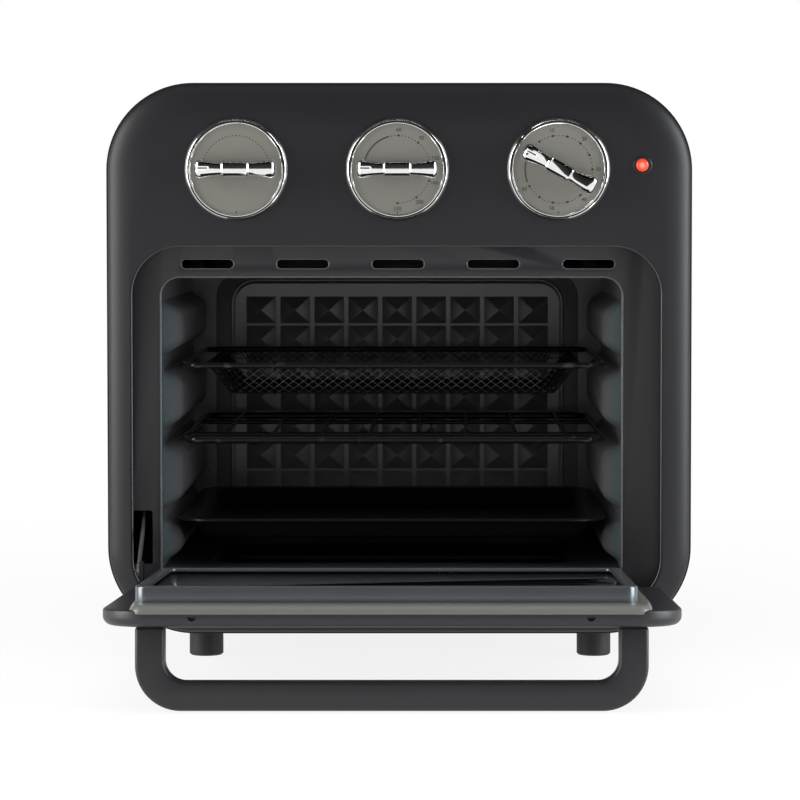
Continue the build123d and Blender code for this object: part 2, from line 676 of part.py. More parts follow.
def hinge_bracket(ear):
    """An ear on the front plate that holds a hinge pin."""
    tab = block(ear, (HINGE_Y - 4.4, PLATE_FRONT), (HINGE_Z - 3.6, HINGE_Z + 5.0))
    bore = rod_x(HINGE_PIN_R + 0.06, ear[0] - 1, ear[1] + 1, HINGE_Y, HINGE_Z)
    return tab - bore


# Lever that eases the door, on the left

def lever_outline():
    length = LEVER_LENGTH
    strip = Pos(length / 2, 0) * Rectangle(length, 7.0)
    return strip + Circle(4.2) + Pos(length, 0) * Circle(4.2)


def lever_place(x):
    """A drawing plane along the lever, at depth x, with its pivot as origin."""
    angle = math.radians(LEVER_ANGLE)
    y, z = LEVER_PIVOT
    return Plane(origin=(x, y, z), x_dir=(0, math.cos(angle), math.sin(angle)), z_dir=(1, 0, 0))


def hinge_lever():
    lever = extrude(lever_place(LEVER_PLANE[0]) * lever_outline(), LEVER_PLANE[1] - LEVER_PLANE[0])
    lever -= rod_x(2.05, -170, -150, *LEVER_PIVOT)
    end = lever_place(LEVER_PLANE[0] - 1) * (Pos(LEVER_LENGTH, 0) * Circle(1.5))
    return lever - extrude(end, 5)


def lever_lug():
    """A tab on the door with the lever's pivot pin, drawn in the open pose."""
    y, z = LEVER_PIVOT
    tab = block(LUG_X, (y - 5, y + 5), (HINGE_Z + 4.0, z + 4.6))
    tab -= opened(block((-175, -150), (DOOR_FRONT, DOOR_BACK), DOOR_Z))
    return tab + rod_x(2.0, LEVER_PLANE[0] - 1.4, LUG_X[0] + EPS, y, z)


def lever_spring():
    """The pull spring behind the lever, as a plain sleeve between two end hooks."""
    angle = math.radians(LEVER_ANGLE)
    y = LEVER_PIVOT[0] + (LEVER_LENGTH + 8) * math.cos(angle)
    z = LEVER_PIVOT[1] + (LEVER_LENGTH + 8) * math.sin(angle)
    x = sum(LEVER_PLANE) / 2
    along = (0, math.cos(angle), math.sin(angle))
    plane = Plane(origin=(x, y, z), x_dir=(1, 0, 0), z_dir=along)
    return extrude(plane * (Circle(4.0) - Circle(3.0)), 60)


# Basket, rack and tray


def wire_loop(x, y, z, radius, corner):
    """A rounded rectangle of round wire, lying flat."""
    wide, long = x[1] - x[0] - 2 * radius, y[1] - y[0] - 2 * radius
    mid = Pos(sum(x) / 2, sum(y) / 2, z)
    path = mid * Wire(RectangleRounded(wide, long, corner).wire().edges())
    start = path @ 0
    plane = Plane(origin=start, z_dir=path % 0)
    return sweep(plane * Circle(radius), path=path)


def net_panel(wide, tall, columns, rows, shift=0.0):
    """A flat sheet with rows of diamond gaps, drawn about the sketch origin."""
    panel = Rectangle(wide, tall)
    pitch_x = wide / (columns + 0.6)
    pitch_y = tall / (rows + 0.5)
    gaps = []
    for row in range(rows):
        offset = shift * pitch_x * (row % 2)
        for column in range(columns):
            x = (column - (columns - 1) / 2) * pitch_x + offset
            y = (row - (rows - 1) / 2) * pitch_y
            half_x, half_y = pitch_x * 0.38, pitch_y * 0.42
            corners = [(x - half_x, y), (x, y - half_y), (x + half_x, y), (x, y + half_y)]
            gaps.append(make_face(Polyline(*corners, close=True)))
    return panel - gaps


def basket_net():
    """The basket's mesh: a holed floor, four sloped walls and a flat lip under the rim wire."""
    x = (RACK_X[0] + 19.0, RACK_X[1] - 19.0)
    y = (RACK_Y[0] + 14.0, RACK_Y[1] - 14.0)
    mid_x, mid_y = sum(x) / 2, sum(y) / 2
    wide, long = x[1] - x[0], y[1] - y[0]
    low = BASKET_LEVEL - BASKET_DROP
    slope = 14.0
    floor_wide, floor_long = wide - 2 * slope, long - 2 * slope
    floor = Pos(mid_x, mid_y, low) * extrude(net_panel(floor_wide + 1, floor_long + 1, 14, 12), NET_SHEET)
    top = BASKET_LEVEL - 2.8
    drop = top - low
    outer = loft(
        [
            Plane(origin=(mid_x, mid_y, low)) * RectangleRounded(floor_wide + 2, floor_long + 2, 8),
            Plane(origin=(mid_x, mid_y, top)) * RectangleRounded(wide + 2, long + 2, 14),
        ],
        ruled=True,
    )
    inner = loft(
        [
            Plane(origin=(mid_x, mid_y, low)) * RectangleRounded(floor_wide, floor_long, 7),
            Plane(origin=(mid_x, mid_y, top)) * RectangleRounded(wide, long, 13),
        ],
        ruled=True,
    )
    walls = outer - inner
    gap = loft_gap(drop)
    for column in range(22):
        for row in range(2):
            place = (column - 10.5) * 9.4 + (row % 2) * 4.7 - 2.3
            height = low + drop * (0.32 + 0.38 * row)
            walls -= Pos(mid_x + place, mid_y, height) * gap
    lip_wide = RACK_X[1] - RACK_X[0] - 2 * RIM_WIRE_R
    lip_long = RACK_Y[1] - RACK_Y[0] - 2 * RIM_WIRE_R
    lip = RectangleRounded(lip_wide, lip_long, 7) - RectangleRounded(wide, long, 13)
    rim = Pos(mid_x, mid_y, top) * extrude(lip, 1.0)
    return floor + walls + rim


def loft_gap(drop):
    """A diamond bar along Y that pierces the front and rear walls of the net."""
    points = [(-3.2, 0), (0, -drop * 0.15), (3.2, 0), (0, drop * 0.15)]
    face = make_face(Polyline(*points, close=True))
    return extrude(front(200) * face, 400)


def basket_rim():
    return wire_loop(RACK_X, RACK_Y, BASKET_LEVEL, RIM_WIRE_R, WIRE_CORNER)


def wire_rack():
    rack = wire_loop(RACK_X, RACK_Y, RACK_LEVEL, RACK_WIRE_R, WIRE_CORNER)
    for index in range(RACK_WIRES):
        x = RACK_FIRST_X + index * RACK_PITCH
        rack += rod_y(1.3, RACK_Y[0] + 1.5, RACK_Y[1] - 1.5, x, RACK_LEVEL + 1.6)
    for y in (RACK_Y[0] + 62, RACK_Y[1] - 62):
        rack += rod_x(1.5, RACK_X[0] + 2.0, RACK_X[1] - 2.0, y, RACK_LEVEL - 0.6)
    return rack


def bake_tray():
    mid_x, mid_y = sum(RACK_X) / 2, sum(RACK_Y) / 2
    wide, long = RACK_X[1] - RACK_X[0], RACK_Y[1] - RACK_Y[0]
    high, low = TRAY_LEVEL, TRAY_LEVEL - TRAY_DROP
    outer = loft(
        [
            Plane(origin=(mid_x, mid_y, low)) * RectangleRounded(wide - 34, long - 34, 18),
            Plane(origin=(mid_x, mid_y, high)) * RectangleRounded(wide - 20, long - 20, 24),
        ],
        ruled=True,
    )
    inner = loft(
        [
            Plane(origin=(mid_x, mid_y, low + 1.2)) * RectangleRounded(wide - 36, long - 36, 17),
            Plane(origin=(mid_x, mid_y, high + EPS)) * RectangleRounded(wide - 22, long - 22, 23),
        ],
        ruled=True,
    )
    lip = RectangleRounded(wide, long, 22) - RectangleRounded(wide - 22, long - 22, 23)
    return outer - inner + Pos(mid_x, mid_y, high - 1.2) * extrude(lip, 1.2)


def main():
    os.makedirs("parts", exist_ok=True)
    save("outer_shell", outer_shell())
    save("front_fascia", front_fascia())
    save("inner_front_plate", inner_front_plate())
    save("cavity_left_wall", side_wall(-1))
    save("cavity_right_wall", side_wall(1))
    save("cavity_ceiling", cavity_ceiling())
    save("cavity_floor", cavity_floor())
    save("cavity_back", cavity_back())
    save("rear_cover", rear_cover())
    save("cover_screws", *[screw_y(x, z, COVER_BACK, -1) for x, z in COVER_SCREWS])
    save("cord_gland", cord_gland())
    save("base_plate", base_plate())
    corners = [(x, y) for x in (-FOOT_X, FOOT_X) for y in FOOT_Y]
    save("feet", *[foot(x, y) for x, y in corners])
    save("foot_screws", *[foot_screw(x, y) for x, y in corners])
    names = ("function", "temperature", "timer")
    for name, x in zip(names, KNOB_X):
        turn = TIMER_TURN if name == "timer" else 0.0
        save(f"{name}_dial_ring", dial_ring(x))
        save(f"{name}_dial", dial_disc(x))
        save(f"{name}_knob", knob_bar(x, turn))
        save(f"{name}_shaft", control_shaft(x))
    save("selector_switch", selector_switch())
    save("thermostat", thermostat())
    save("thermostat_bulb", thermostat_bulb())
    save("timer_unit", timer_unit())
    save("timer_bell", timer_bell())
    save("lamp_bezel", lamp_bezel())
    save("lamp_lens", lamp_lens())
    save("lamp_body", lamp_body())
    for name, z in (("upper", UPPER_HEATER_Z), ("lower", LOWER_HEATER_Z)):
        save(f"{name}_front_heater", heater(HEATER_Y[0], z))
        save(f"{name}_rear_heater", heater(HEATER_Y[1], z))
    save("heater_insulators", *heater_insulators())
    save("fan_wheel", fan_wheel())
    save("fan_shaft", fan_shaft())
    save("fan_motor", fan_motor())
    save("motor_bracket", motor_bracket())
    save("fan_guard", fan_guard())
    save("terminal_block", terminal_block())
    save("door_panel", opened(door_panel()))
    save("door_glass_frame", opened(glass_frame()))
    save("door_inner_glass", opened(door_glass()))
    save("door_outer_glass", opened(outer_glass()))
    save("door_handle", opened(handle()))
    save("handle_screws", *[opened(handle_screw(x)) for x in HANDLE_SCREW_X])
    save("hinge_pins", hinge_pin(-155.8, -142.0), hinge_pin(138.0, 152.4))
    save("hinge_brackets", hinge_bracket(LEFT_EAR), hinge_bracket(RIGHT_EAR))
    save("hinge_lever", hinge_lever())
    save("lever_lug", lever_lug())
    save("lever_spring", lever_spring())
    save("basket_rim", basket_rim())
    save("basket_net", basket_net())
    save("wire_rack", wire_rack())
    save("bake_tray", bake_tray())


main()
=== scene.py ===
"""A countertop mini oven with its drop-down door open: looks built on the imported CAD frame."""

import math

import bpy
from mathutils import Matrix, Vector


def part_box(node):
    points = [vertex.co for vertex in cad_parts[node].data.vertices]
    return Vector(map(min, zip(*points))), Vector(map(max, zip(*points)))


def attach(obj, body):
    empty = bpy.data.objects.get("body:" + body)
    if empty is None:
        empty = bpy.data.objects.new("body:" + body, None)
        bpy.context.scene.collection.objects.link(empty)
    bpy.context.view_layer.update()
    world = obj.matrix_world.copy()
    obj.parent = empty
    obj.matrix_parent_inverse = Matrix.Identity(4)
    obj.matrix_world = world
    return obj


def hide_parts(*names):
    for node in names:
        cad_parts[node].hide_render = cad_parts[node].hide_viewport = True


bl_info = {
    "name": "Mini Oven",
    "version": (1, 0, 0),
    "blender": (4, 5, 0),
    "location": "View3D > Sidebar > Oven",
    "description": "Builds the casing, dials, cavity, racks and door of a mini oven",
    "category": "Object",
}

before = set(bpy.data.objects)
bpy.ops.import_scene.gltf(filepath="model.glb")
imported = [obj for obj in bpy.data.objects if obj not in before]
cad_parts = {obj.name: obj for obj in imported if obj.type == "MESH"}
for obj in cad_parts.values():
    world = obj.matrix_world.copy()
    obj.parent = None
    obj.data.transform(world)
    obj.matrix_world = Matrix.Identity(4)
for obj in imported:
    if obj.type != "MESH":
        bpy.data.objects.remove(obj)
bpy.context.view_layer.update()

MM = 0.001
FRONT_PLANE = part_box("front_fascia")[0].y
FACING = (math.pi / 2, 0.0, 0.0)

# Places in millimetres: x to the right, y back from the front face, z up
CASE_X = (-185.0, 185.0)
CASE_Z = (17.0, 366.0)
CASE_FRONT = 9.5
CASE_BACK = 333.0
CASE_SHEET = 0.9
RECESS_X = (-169.7, 166.3)
RECESS_Z = (34.0, 263.5)
RECESS_CORNER = 31.0
PLATE_Y = (14.0, 14.8)
PLATE_MARGIN = 4.5
PLATE_CORNER = 46.0
THROUGH_PLATE = (5.0, 25.0)
VENT_X = (-121.6, -61.2, -0.8, 59.6, 120.0)
VENT_Z = 251.7
VENT_HALF = (16.5, 2.9)
LEVER_SLOT = ((-169.2, -157.0), (61.0, 95.0))
SHAFT_HOLE = 5.0
LAMP_HOLE = 6.5
CAVITY_X = (-151.5, 141.5)
CAVITY_Z = (57.0, 243.5)
CAVITY_BACK = 289.0
CAVITY_CORNER = 12.0
CAVITY_SHEET = 0.6
RIB_BANDS = ((60.0, 87.0), (94.0, 136.5), (145.0, 184.0), (192.5, 228.0))
RIB_Y = (27.8, 276.0)
RIB_RISE = 11.5
RIB_SLOPES = (34.0, 14.0)
RIVET_Y = 19.5
PANEL_Z = (66.0, 236.5)
PYRAMID = (-5.0, 284.7, 214.0)
PYRAMID_PITCH = (24.4, 20.9)
DIALS = {"function": -102.3, "temperature": -1.0, "timer": 100.3}
DIAL_Z = 311.4
PRINT_Y = -1.25
DOT_CIRCLE = 21.2
NUMBER_CIRCLE = 24.8
LAMP = (153.0, 314.0)
RACK_X = (-143.0, 133.0)
RACK_Y = (24.0, 268.0)
RACK_CORNER = 16.0
BASKET_LEVEL = 186.7
BASKET_DEPTH = 19.4
RACK_LEVEL = 139.2
TRAY_LEVEL = 88.7
HINGE = (5.2, 43.0)
DOOR_OPEN = 87.0
DOOR_X = (-168.2, 164.8)
DOOR_Z = (37.0, 262.0)
DOOR_Y = (0.3, 10.1)
GLASS_X = (-149.3, 139.2)
GLASS_Z = (58.6, 241.4)
GLASS_BORDER = 7.0
BORDER_RISE = 12.5
STEP_RISE = 2.9
WINDOW_HALF = (118.0, 66.0)
NOTCH_X = (-115.0, 111.4)
HANDLE_X = (-148.15, 144.75)
HANDLE_Z = (237.0, 252.0)
HANDLE_FRONT = -47.9
PANE_X = (-122.8, 112.8)
PANE_Z = (84.4, 216.0)

# For each dial: its small dots with their size, its large dots, its numbers by angle, and its arc
DIAL_MARKS = {
    "function": (range(-72, 73, 6), 0.40, (), {}, None),
    "temperature": (
        range(-10, 180, 6), 0.36, (2, 38, 74, 110, 146, 180),
        {2: "60", 38: "90", 74: "120", 110: "160", 146: "200", 180: "230"}, (-88, -14)),
    "timer": (
        range(-60, 240, 6), 0.36, range(-60, 241, 25),
        {-60: "0", -10: "10", 40: "20", 90: "30", 140: "40", 190: "50", 240: "60"}, (-112, -66)),
}


def length(name, words, value):
    """A length property with its name, its description and its default."""
    return bpy.props.FloatProperty(name=name, description=words, default=value, min=0.0, unit="LENGTH")


def colour(name, words, value):
    """A colour property with its name, its description and its default."""
    return bpy.props.FloatVectorProperty(
        name=name, description=words, default=value, size=3, min=0.0, max=1.0, subtype="COLOR")


class OvenSizes(bpy.types.PropertyGroup):
    """Sizes that change how the oven looks."""

    corner: length("Case corner", "Radius of the case's four corners", 0.0550)
    swell_width: length("Swell width", "How far the front's swollen edge reaches inwards", 0.030)
    swell_depth: length("Swell depth", "How far the front stands out of the case", 0.0095)
    ring_radius: length("Dial ring radius", "Outer radius of the bright ring round a dial", 0.0325)
    grip_length: length("Grip length", "Length of a dial's grip bar", 0.0506)
    timer_turn: bpy.props.FloatProperty(
        name="Timer angle", description="How far the timer's grip is turned from level",
        default=math.radians(28.0), subtype="ANGLE")
    rim_wire: length("Basket rim wire", "Radius of the basket's rim wire", 0.0020)
    net_pitch: length("Net pitch", "Side of one diamond of the basket's net", 0.0045)
    net_wire: length("Net wire", "Thickness of the basket's net", 0.0006)
    rack_wire: length("Rack wire", "Radius of the rack's depth wires", 0.0013)
    handle_bar: length("Handle bar", "Thickness of the handle's arms and bar", 0.0168)
    floor_size: length("Floor size", "Side of the pale floor", 14.0)


class OvenColours(bpy.types.PropertyGroup):
    """Colours of the oven's finishes."""

    case: colour("Case paint", "Satin paint of the wrapped case", (0.012, 0.012, 0.014))
    front: colour("Front paint", "Satin paint of the swollen front", (0.012, 0.012, 0.014))
    plate: colour("Front plate", "Paint of the plate inside the recess", (0.017, 0.017, 0.019))
    cavity: colour("Cavity coating", "Coated steel of the cavity", (0.130, 0.125, 0.130))
    # Painted light and shade: the teal, darker colour that the rib fronts take near the mouth
    wall_front: colour("Rib fronts", "Side ribs near the mouth", (0.050, 0.074, 0.080))
    chrome: colour("Chrome", "Bright plating of rings and grips", (0.86, 0.86, 0.85))
    dial: colour("Dial face", "Satin metal of the dial discs", (0.205, 0.200, 0.176))
    print_ink: colour("Dial print", "Marks and numbers on the dials", (0.008, 0.008, 0.007))
    lamp: colour("Lamp glow", "Light of the power lamp", (0.85, 0.05, 0.02))
    net: colour("Net steel", "Dark coated wire of the basket and rack", (0.016, 0.016, 0.018))
    tray: colour("Tray enamel", "Black enamel of the tray", (0.004, 0.004, 0.005))
    door: colour("Door plastic", "Satin plastic of the door and handle", (0.016, 0.016, 0.018))
    glass_frame: colour("Glass frame", "Paint of the frame round the glass", (0.124, 0.138, 0.150))
    # The step's pale colour is partly its own paint and partly a painted highlight along the ledge
    # under the frame
    step: colour("Door step", "Paint of the step under the glass frame", (0.125, 0.128, 0.116))
    zinc: colour("Zinc steel", "Plated steel of screws, pins and the lever", (0.42, 0.43, 0.43))
    floor: colour("Floor", "Pale floor and backdrop", (0.92, 0.92, 0.92))


# Modelling by operators


def spot(x, y, z):
    """A place given in millimetres from the front face, in the frame's metres."""
    return Vector((x * MM, FRONT_PLANE + y * MM, z * MM))


def measured(place):
    """The opposite of spot: a place in the frame as millimetres from the front face."""
    return Vector((place.x / MM, (place.y - FRONT_PLANE) / MM, place.z / MM))


def about(middle, half):
    """The low and high values round a middle."""
    return (middle - half, middle + half)


def within(span, margin):
    """A low and a high value, each moved inwards."""
    return (span[0] + margin, span[1] - margin)


def rest():
    """Leaves edit mode and selects nothing."""
    if bpy.context.object and bpy.context.object.mode != "OBJECT":
        bpy.ops.object.mode_set(mode="OBJECT")
    bpy.ops.object.select_all(action="DESELECT")


def only(*pieces):
    """Selects these pieces alone and makes the first one active."""
    rest()
    for piece in pieces:
        piece.select_set(True)
    bpy.context.view_layer.objects.active = pieces[0]


def settle(name):
    """Puts the active object's place, turn and size into its mesh, and names it."""
    piece = bpy.context.object
    only(piece)
    bpy.ops.object.transform_apply(location=True, rotation=True, scale=True)
    piece.name = name
    piece.data.name = name
    return piece


def edit(piece):
    """Opens a piece in edit mode with all of it selected."""
    only(piece)
    bpy.ops.object.mode_set(mode="EDIT")
    bpy.ops.mesh.select_all(action="SELECT")


def pick(piece, kind, test):
    """Opens a piece in edit mode with the edges or faces that pass a test selected."""
    only(piece)
    bpy.ops.object.mode_set(mode="EDIT")
    bpy.ops.mesh.select_mode(type=kind)
    bpy.ops.mesh.select_all(action="DESELECT")
    bpy.ops.object.mode_set(mode="OBJECT")
    mesh = piece.data
    if kind == "EDGE":
        spots = [measured(vertex.co) for vertex in mesh.vertices]
        for edge in mesh.edges:
            a, b = edge.vertices
            edge.select = bool(test(spots[a], spots[b]))
    else:
        for face in mesh.polygons:
            face.select = bool(test(measured(face.center), face.normal))
    bpy.ops.object.mode_set(mode="EDIT")


def drop(piece, test):
    """Deletes the faces that pass a test."""
    pick(piece, "FACE", test)
    bpy.ops.mesh.delete(type="FACE")
    rest()


def bevel(piece, test, width, segments, **options):
    """Rounds the edges that pass a test."""
    pick(piece, "EDGE", test)
    bpy.ops.mesh.bevel(offset=width * MM, segments=segments, affect="EDGES", **options)
    rest()
    return piece


def inset(*steps):
    """Insets the selected faces again and again, each time by a width and a depth."""
    for width, depth in steps:
        bpy.ops.mesh.inset(thickness=width * MM, depth=depth * MM)
    rest()


def block(name, x, y, z):
    """A box from its low and high values on each axis."""
    rest()
    low, high = spot(x[0], y[0], z[0]), spot(x[1], y[1], z[1])
    bpy.ops.mesh.primitive_cube_add(size=1.0, location=(low + high) / 2, scale=high - low)
    return settle(name)


def rounded(name, x, y, z, radius, along="Y", segments=16):
    """A box whose four edges along one axis are rounded."""
    axis = "XYZ".index(along)
    return bevel(block(name, x, y, z), lambda a, b: abs((a - b)[axis]) > 0.01, radius, segments)


def rod(name, place, radius, depth, sides, angles=FACING):
    """A cylinder that points at the front, or as its angles say."""
    rest()
    bpy.ops.mesh.primitive_cylinder_add(
        vertices=sides, radius=radius * MM, depth=depth * MM, location=spot(*place), rotation=angles)
    return settle(name)


def apply_all(piece):
    """Applies every modifier of a piece."""
    only(piece)
    for modifier in list(piece.modifiers):
        bpy.ops.object.modifier_apply(modifier=modifier.name)
    return piece


def cut(piece, *tools):
    """Takes the tools away from a piece."""
    for tool in tools:
        change = piece.modifiers.new("cut", "BOOLEAN")
        change.operation = "DIFFERENCE"
        change.solver = "EXACT"
        change.object = tool
        apply_all(piece)
        only(tool)
        bpy.ops.object.delete()
    return piece


def hole(piece, x, y, z, corner, segments=16, along="Y"):
    """Cuts a hole with rounded corners through a piece."""
    return cut(piece, rounded("tool", x, y, z, corner, along, segments))


def thicken(piece, thickness):
    """Gives a surface its thickness, on its inner side."""
    change = piece.modifiers.new("sheet", "SOLIDIFY")
    change.thickness = thickness * MM
    change.offset = -1.0
    return apply_all(piece)


def soften(piece, width, segments=3, angle=35.0):
    """Rounds every sharp edge by a small width."""
    change = piece.modifiers.new("soften", "BEVEL")
    change.width = width * MM
    change.segments = segments
    change.limit_method = "ANGLE"
    change.angle_limit = math.radians(angle)
    change.miter_outer = "MITER_ARC"
    return apply_all(piece)


def smooth(piece, angle=35.0):
    """Shades a piece smooth, apart from its sharp edges."""
    only(piece)
    bpy.ops.object.shade_smooth_by_angle(angle=math.radians(angle))
    return piece


def join(name, *pieces):
    """Makes one piece of several."""
    only(*pieces)
    bpy.ops.object.join()
    piece = bpy.context.object
    piece.name = name
    piece.data.name = name
    return piece


def copy(piece, name, shift):
    """A copy with its own mesh, moved by a shift in millimetres."""
    only(piece)
    bpy.ops.object.duplicate(linked=False)
    bpy.ops.transform.translate(value=[value * MM for value in shift])
    return settle(name)


def turn(place, angles, *pieces):
    """Turns pieces round a place, and puts the turn into their meshes."""
    cursor = bpy.context.scene.cursor
    for piece in pieces:
        only(piece)
        cursor.location = place
        bpy.ops.object.origin_set(type="ORIGIN_CURSOR")
        piece.rotation_euler = angles
        settle(piece.name)
        cursor.location = (0.0, 0.0, 0.0)
        bpy.ops.object.origin_set(type="ORIGIN_CURSOR")


def mend(piece):
    """Merges doubles and turns the faces outwards."""
    edit(piece)
    bpy.ops.mesh.remove_doubles(threshold=0.00001)
    bpy.ops.mesh.normals_make_consistent(inside=False)
    rest()
    return piece


def drawn(name, points):
    """A line of joined points, drawn by extruding one vertex from point to point."""
    rest()
    places = [spot(*point) for point in points]
    bpy.ops.mesh.primitive_plane_add(size=0.001, location=places[0])
    line = settle(name)
    edit(line)
    bpy.ops.mesh.select_mode(type="VERT")
    bpy.ops.mesh.merge(type="CENTER")
    for start, end in zip(places, places[1:]):
        bpy.ops.mesh.extrude_region_move(TRANSFORM_OT_translate={"value": end - start})
    rest()
    return line


def turned(name, profile, centre, axis="Y", steps=96):
    """A profile of (radius, along) points spun round an axis, X or Y, through a centre."""
    points = []
    for radius, along in profile:
        offset = (0.0, along, radius) if axis == "Y" else (along, 0.0, radius)
        points.append(tuple(c + o for c, o in zip(centre, offset)))
    piece = drawn(name, points)
    edit(piece)
    direction = {"X": (1, 0, 0), "Y": (0, 1, 0)}[axis]
    bpy.ops.mesh.spin(steps=steps, angle=math.tau, center=spot(*centre), axis=direction)
    rest()
    return mend(piece)


def tube(piece, radius, sides=3):
    """Turns the edges of a piece into round wire."""
    name = piece.name
    only(piece)
    bpy.ops.object.convert(target="CURVE")
    line = bpy.context.object
    line.data.bevel_depth = radius * MM
    line.data.bevel_resolution = sides
    line.data.use_fill_caps = True
    bpy.ops.object.convert(target="MESH")
    return smooth(settle(name), 60.0)


def loop(name, x, y, z, corner, segments=8):
    """A flat loop of edges with rounded corners, at one height or at one depth."""
    rest()
    upright = isinstance(y, float)
    low = spot(x[0], y if upright else y[0], z[0] if upright else z)
    high = spot(x[1], y if upright else y[1], z[1] if upright else z)
    size = high - low
    bpy.ops.mesh.primitive_plane_add(
        size=1.0, location=(low + high) / 2, rotation=FACING if upright else (0.0, 0.0, 0.0))
    bpy.context.object.scale = (size.x, size.z if upright else size.y, 1.0)
    piece = settle(name)
    edit(piece)
    bpy.ops.mesh.bevel(offset=corner * MM, segments=segments, affect="VERTICES")
    bpy.ops.mesh.select_all(action="SELECT")
    bpy.ops.mesh.delete(type="ONLY_FACE")
    rest()
    return piece


# Finishes


class Level:
    """A shader socket's value: plain arithmetic on it adds the maths nodes."""

    def __init__(self, finish, socket):
        self.finish = finish
        self.socket = socket

    def maths(self, kind, *values):
        return self.finish.node("ShaderNodeMath", {"operation": kind}, dict(enumerate(values)))

    def other(self, name):
        """Another output of the same node."""
        return Level(self.finish, self.socket.node.outputs[name])

    def __add__(self, other):
        return self.maths("ADD", self, other)

    __radd__ = __add__

    def __sub__(self, other):
        return self.maths("SUBTRACT", self, other)

    def __rsub__(self, other):
        return self.maths("SUBTRACT", other, self)

    def __mul__(self, other):
        return self.maths("MULTIPLY", self, other)

    __rmul__ = __mul__

    def at_most(self, other):
        return self.maths("MINIMUM", self, other)

    def at_least(self, other):
        return self.maths("MAXIMUM", self, other)

    def clipped(self, low=0.0):
        return self.at_least(low).at_most(1.0)


class Finish:
    """A procedural material, or the world, put together node by node."""

    def __init__(self, name, owner=None):
        self.owner = owner or bpy.data.materials.new(name)
        self.owner.use_nodes = True
        self.tree = self.owner.node_tree
        self.tree.nodes.clear()

    def node(self, kind, settings=None, sockets=None, out=0):
        """Adds a node, with its settings first and then its sockets, and returns one output."""
        added = self.tree.nodes.new(kind)
        for key, value in (settings or {}).items():
            setattr(added, key, value)
        for key, value in (sockets or {}).items():
            if isinstance(value, Level):
                self.tree.links.new(value.socket, added.inputs[key])
            else:
                added.inputs[key].default_value = value
        return Level(self, added.outputs[out]) if len(added.outputs) else None

    def place(self):
        return self.node("ShaderNodeTexCoord", out="Object")

    def noise(self, scale, detail=2.0, stretch=None):
        where = self.place()
        if stretch:
            where = self.node("ShaderNodeMapping", {}, {"Vector": where, "Scale": stretch})
        return self.node("ShaderNodeTexNoise", {}, {"Vector": where, "Scale": scale, "Detail": detail})

    def mix(self, factor, first, second):
        """A colour between two colours."""
        first = first if isinstance(first, Level) else (*first, 1.0)
        second = second if isinstance(second, Level) else (*second, 1.0)
        sockets = {0: factor, 6: first, 7: second}
        return self.node("ShaderNodeMix", {"data_type": "RGBA"}, sockets, out=2)

    def bump(self, height, strength, distance):
        return self.node(
            "ShaderNodeBump", {}, {"Strength": strength, "Distance": distance * MM, "Height": height})

    def surface(self, **sockets):
        """The Principled shader, linked to the output."""
        named = {key.replace("_", " "): value for key, value in sockets.items()}
        if isinstance(named["Base Color"], tuple):
            named["Base Color"] = (*named["Base Color"], 1.0)
        shader = self.node("ShaderNodeBsdfPrincipled", {}, named)
        self.node("ShaderNodeOutputMaterial", {}, {"Surface": shader})
        return self.owner


def tone(value, factor):
    """A colour made lighter or darker."""
    return tuple(min(1.0, channel * factor) for channel in value)


def picked(shade):
    """A colour that is given by its property's name, or as itself."""
    return tuple(getattr(bpy.context.scene.oven_colours, shade)) if isinstance(shade, str) else shade


# For each kind of coat: the scale and detail of its clouds, the same of its grain, its darkest and
# lightest shade, how far clouds and grain sway its roughness, and its bump's strength and height
COATS = {
    "satin": ((9.0, 3.0), (700.0, 2.0), (0.93, 1.07), (0.06, 0.05), (0.10, 0.12)),
    "moulded": ((14.0, 2.0), (1400.0, 3.0), (0.92, 1.08), (0.0, 0.12), (0.16, 0.08)),
    "coated": ((16.0, 4.0), (420.0, 2.0), (0.85, 1.15), (0.12, 0.08), (0.06, 0.10)),
    "metal": ((220.0, 4.0), (220.0, 4.0), (0.75, 1.10), (0.0, 0.20), (0.08, 0.10)),
    "brushed": ((25.0, 2.0), (1500.0, 2.0), (0.95, 1.05), (0.0, 0.10), (0.05, 0.05)),
}


def coat(
        name, kind, value, roughness, lift=1.0, front=None, size=None, peel=None, stretch=None,
        **sockets):
    """Paint, plastic, coated sheet or plain metal, a little uneven in colour, gloss and surface."""
    clouds, fine, shades, sway, bump = COATS[kind]
    # A factor other than 1 lightens or darkens the coat, as a painted highlight or as painted shade
    value = tone(value, lift)
    finish = Finish(name)
    cloud = finish.noise(*clouds)
    grain = finish.noise(size or fine[0], fine[1], stretch)
    shade = finish.mix(cloud, tone(value, shades[0]), tone(value, shades[1]))
    # Given a front colour, the coat turns to it within 48 mm of the front face: painted light and
    # shade near the mouth
    if front:
        depth = finish.node("ShaderNodeSeparateXYZ", {}, {"Vector": finish.place()}, out="Y")
        near = ((FRONT_PLANE + 48.0 * MM - depth) * 50.0).clipped()
        shade = finish.mix(near, shade, picked(front))
    return finish.surface(
        Base_Color=shade, Roughness=roughness + (cloud - 0.5) * sway[0] + (grain - 0.5) * sway[1],
        Normal=finish.bump(grain, peel or bump[0], bump[1]), **sockets)


def plated(name, value, roughness):
    """Bright plated metal with faint wipe marks."""
    finish = Finish(name)
    wipe = finish.noise(60.0, 4.0, (1.0, 1.0, 4.0))
    shade = finish.mix(wipe, tone(value, 0.96), value)
    return finish.surface(Base_Color=shade, Metallic=1.0, Roughness=roughness + wipe * 0.05)


def dark_wire(name, value, roughness):
    """Dark coated wire whose bright steel shows in places."""
    finish = Finish(name)
    worn = ((finish.noise(120.0, 5.0) - 0.62) * 6.0).clipped()
    shade = finish.mix(worn, value, tone(value, 5.0))
    return finish.surface(Base_Color=shade, Metallic=0.55, Roughness=roughness + worn * 0.15)


